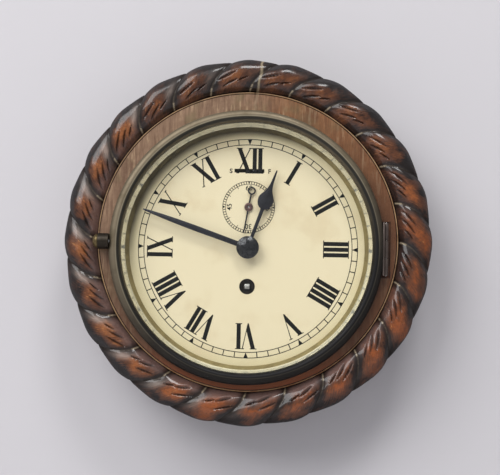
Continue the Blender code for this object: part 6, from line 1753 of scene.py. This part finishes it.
@dataclass
class Fittings:
    """The hinge on the right, the thumb screw on the left and the winding arbor."""

    hinge_x: float = 118.5
    hinge_height: float = 60.7
    knob_y: float = 2.4
    knob_height: float = 65.5
    knob_radius: float = 6.75
    knurls: int = 96
    knurl_share: float = 0.965
    knob_back: float = 118.6
    dome_from: float = 128.6
    dome_length: float = 4.2
    dome_radius: float = 6.1
    pin_radius: float = 0.9
    pin_half: float = 22.8
    knuckle_from: float = 8.0
    knuckle_to: float = 22.4
    fixed_half: float = 7.7
    leaf: tuple = ((115.6, -22.7, 59.4), (116.9, 22.7, 67.0))
    plate: tuple = ((113.0, -7.7, 55.4), (119.15, 7.7, 56.7))
    web: tuple = ((117.7, -7.7, 55.5), (119.1, 7.7, 59.2))
    winding_drop: float = WINDING_DROP
    core_low: float = 20.1
    core_high: float = 31.4
    square_half: float = 2.1
    square_low: float = 42.9
    square_high: float = 48.6

    def barrel(self, name: str, low: float, high: float, radius: float = 2.1) -> bpy.types.Object:
        """One knuckle of the hinge, upright.

        Args:
            name: Its name.
            low: Lower end on the face.
            high: Upper end.
            radius: Its radius.

        Returns:
            The knuckle.
        """
        bpy.ops.object.select_all(action="DESELECT")
        seat = Bench.seat(self.hinge_x, (low + high) / 2, self.hinge_height)
        length = (high - low) * MM
        bpy.ops.mesh.primitive_cylinder_add(vertices=40, radius=radius * MM, depth=length, location=seat)
        obj = bpy.context.object
        obj.name = name
        bpy.ops.object.transform_apply(location=True, rotation=True, scale=True)
        Bench.bevel(obj, 0.25)
        return obj

    def block(self, name: str, low: tuple, high: tuple) -> bpy.types.Object:
        """A bevelled block between two corners given as x, y and height.

        Args:
            name: Its name.
            low: One corner.
            high: The other corner.

        Returns:
            The block.
        """
        bpy.ops.object.select_all(action="DESELECT")
        a, b = Bench.seat(*low), Bench.seat(*high)
        bpy.ops.mesh.primitive_cube_add(size=1, location=(a + b) / 2)
        obj = bpy.context.object
        obj.name = name
        obj.scale = tuple(abs(v) for v in (b - a))
        bpy.ops.object.transform_apply(location=True, rotation=True, scale=True)
        Bench.bevel(obj, 0.15)
        return obj

    def knob(self) -> bpy.types.Object:
        """Turns the barrel with its domed end and knurls it.

        Returns:
            The thumb screw's knob.
        """
        base, rise, back = self.dome_from, self.dome_length, self.knob_back
        turns = (math.pi / 2 * i / 8 for i in range(8))
        dome = [(self.dome_radius * math.cos(t), base + rise * math.sin(t)) for t in turns]
        profile = [(0, back), (6.2, back), *[(self.knob_radius, along) for along in (119.1, 120, 124, 127.6)]]
        profile += [(6.3, 128.2), (5.7, 128.35), (5.8, base), *dome, (0, base + rise)]
        obj = Bench.start("thumb_knob")
        axis_at = Bench.seat(0, self.knob_y, self.knob_height)
        points = [axis_at + Vector((-along, 0, r)) * MM for r, along in profile]
        Bench.chain(points, False)
        bpy.ops.mesh.spin(steps=self.knurls, angle=math.tau, center=axis_at, axis=(1, 0, 0))
        Bench.done(obj)

        def knurl(co: Vector) -> Vector:
            """Draws every other column of points inwards.

            Args:
                co: Where a point was.

            Returns:
                Where it goes.
            """
            off = co - axis_at
            radius = math.hypot(off.y, off.z)
            if radius < (self.knob_radius - 0.05) * MM or not 119.5 <= -off.x / MM <= 127.8:
                return co
            column = round(math.atan2(off.z, off.y) / math.tau * self.knurls)
            shrink = self.knurl_share if column % 2 else 1.0
            return axis_at + Vector((off.x, off.y * shrink, off.z * shrink))

        Bench.move_points(obj, knurl)
        return obj

    def winding_square(self) -> bpy.types.Object:
        """Turns the winding arbor and gives it its square end in the dial's hole.

        Returns:
            The arbor.
        """
        profile = [(0, 13.9), (1.3, 13.9), (1.6, 14.2), (1.6, self.core_low), (5.8, self.core_low),
                   (6.0, self.core_low + 0.2), (6.0, self.core_high - 0.2), (5.8, self.core_high),
                   (3.0, self.core_high), (3.0, 42.7), (2.8, 43.0), (0, 43.0)]
        half, drop = self.square_half, self.winding_drop
        arbor = Bench.lathe("winding_arbor_turned", profile, 48, (0, -drop))
        low, high = (-half, -drop - half, self.square_low), (half, half - drop, self.square_high)
        square = self.block("square", low, high)
        return Bench.join("winding_arbor_turned", [arbor, square])

    def build(self, finishes: Finishes) -> None:
        """Builds and dresses the hinge, the thumb screw and the winding arbor.

        Args:
            finishes: The materials.
        """
        low, high, half = self.knuckle_from, self.knuckle_to, self.fixed_half
        leaf = self.block("leaf", *self.leaf)
        moving = Bench.join("hinge_moving", [leaf, self.barrel("k", -high, -low), self.barrel("k", low, high)])
        fit(moving, finishes.hinge, Slot.BLUED_STEEL, Body.BEZEL, "hinge_bezel_leaf")
        plates = [self.block("plate", *self.plate), self.block("web", *self.web), self.barrel("k", -half, half)]
        fit(Bench.join("hinge_fixed", plates), finishes.hinge, Slot.BLUED_STEEL, Body.CASE, "hinge_case_leaf")
        pin = self.barrel("hinge_pin_turned", -self.pin_half, self.pin_half, self.pin_radius)
        fit(pin, finishes[Slot.BRIGHT_STEEL], Slot.BRIGHT_STEEL, Body.CASE, "hinge_pin")
        fit(self.knob(), finishes.knob, Slot.DARK_BRASS, Body.KNOB, "catch_knob")
        fit(self.winding_square(), finishes.hole_shaded, Slot.BRIGHT_STEEL, Body.WINDING, "winding_arbor")


@dataclass
class Movement:
    """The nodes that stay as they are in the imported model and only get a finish."""

    # The ratchet wheel seen through the winding hole takes the dark steel that paints its shade.
    hole_shaded: tuple = ("ratchet_wheel",)

    def dress(self, finishes: Finishes) -> None:
        """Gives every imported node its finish.

        Args:
            finishes: The materials.
        """
        slots = {row["node"]: row["material_slot"] for row in frame["record"]["subparts"]}
        for name, obj in frame["nodes"].items():
            obj.data.materials.clear()
            obj.data.materials.append(finishes.hole_shaded if name in self.hole_shaded else finishes[Slot(slots[name])])
            LOG.info("node %s: %s", name, slots[name])


@dataclass
class Studio:
    """Pale wall and floor, soft lamps and the camera."""

    wall_colour: tuple = paint(199, 196, 199)
    floor_colour: tuple = paint(208, 207, 210)
    floor_drop: float = 0.95
    lamps: tuple = (("key_lamp", (-2.1, -2.6, 2.5), 2.8, 144), ("top_lamp", (0.5, -1.6, 2.4), 0.8, 32))
    aim: tuple = (0, -0.05, 0)
    sky: tuple = (0.95, 0.97, 1.0, 1.0)
    sky_strength: float = 0.42
    wall_hole: float = 0.148
    wall_reach: float = 3.2
    wall_gap: float = 0.0015
    target: tuple = (0.0017, -0.049, 0.0035)
    distance: float = 1.3
    lens: float = 108.2
    azimuth: float = 1.5
    elevation: float = -5.0
    roll: float = 1.2

    def lamp(self, name: str, place: tuple, size: float, watts: float) -> None:
        """Adds a soft square lamp aimed at the clock.

        Args:
            name: The lamp's name.
            place: Where it stands, in metres.
            size: Its edge.
            watts: Its strength.
        """
        data = bpy.data.lights.new(name, "AREA")
        data.size = size
        data.energy = watts
        obj = bpy.data.objects.new(name, data)
        bpy.context.scene.collection.objects.link(obj)
        obj.location = place
        obj.rotation_euler = (Vector(self.aim) - Vector(place)).to_track_quat("-Z", "Y").to_euler()

    def build(self) -> None:
        """Sets up the wall, the floor, the lamps, the world and the camera."""
        bpy.ops.object.select_all(action="DESELECT")
        bpy.ops.mesh.primitive_circle_add(vertices=128, radius=self.wall_hole)
        wall = bpy.context.object
        wall.name = "wall"
        bpy.ops.object.mode_set(mode="EDIT")
        bpy.ops.mesh.select_all(action="SELECT")
        bpy.ops.mesh.extrude_edges_move()
        bpy.ops.transform.resize(value=(self.wall_reach / self.wall_hole,) * 3)
        bpy.ops.mesh.select_all(action="SELECT")
        bpy.ops.mesh.flip_normals()
        bpy.ops.object.mode_set(mode="OBJECT")
        wall.data.transform(Matrix.Translation((0, self.wall_gap, 0)) @ Matrix.Rotation(math.radians(90), 4, "X"))
        wall.data.materials.append(PlainWall("wall_paint", self.wall_colour).make())
        bpy.ops.mesh.primitive_plane_add(size=6)
        floor = bpy.context.object
        floor.name = "floor"
        floor.data.transform(Matrix.Translation((0, -0.5, -self.floor_drop)))
        floor.data.materials.append(PlainWall("floor_paint", self.floor_colour, False).make())
        for lamp in self.lamps:
            self.lamp(*lamp)
        world = bpy.context.scene.world or bpy.data.worlds.new("studio")
        bpy.context.scene.world = world
        world.use_nodes = True
        for socket, value in zip(world.node_tree.nodes["Background"].inputs, (self.sky, self.sky_strength)):
            socket.default_value = value
        bpy.context.scene.view_settings.view_transform = "Standard"
        self.camera()

    def camera(self) -> None:
        """Stands the camera at the photograph's viewing angle."""
        data = bpy.data.cameras.new("camera")
        data.lens = self.lens
        data.sensor_width = 36.0
        obj = bpy.data.objects.new("camera", data)
        bpy.context.scene.collection.objects.link(obj)
        azimuth, elevation = math.radians(self.azimuth), math.radians(self.elevation)
        away = Vector((math.sin(azimuth) * math.cos(elevation), -math.cos(azimuth) * math.cos(elevation),
                       math.sin(elevation)))
        target = Vector(self.target)
        obj.location = target + away * self.distance
        look = (-away).to_track_quat("-Z", "Y").to_matrix().to_4x4()
        roll = Matrix.Rotation(math.radians(self.roll), 4, "Z")
        obj.matrix_world = Matrix.Translation(obj.location) @ look @ roll
        bpy.context.scene.camera = obj


def main() -> None:
    """Builds the clock's looks in order."""
    logging.basicConfig(level=logging.INFO, format="%(message)s")
    finishes = Finishes()
    Movement().dress(finishes)
    RopeSurround().build(finishes)
    GlazedBezel().build(finishes)
    DialPlate().build(finishes)
    DialPrint().build(finishes)
    Hands().build(finishes)
    Fittings().build(finishes)
    Studio().build()


if __name__ == "__main__":
    main()
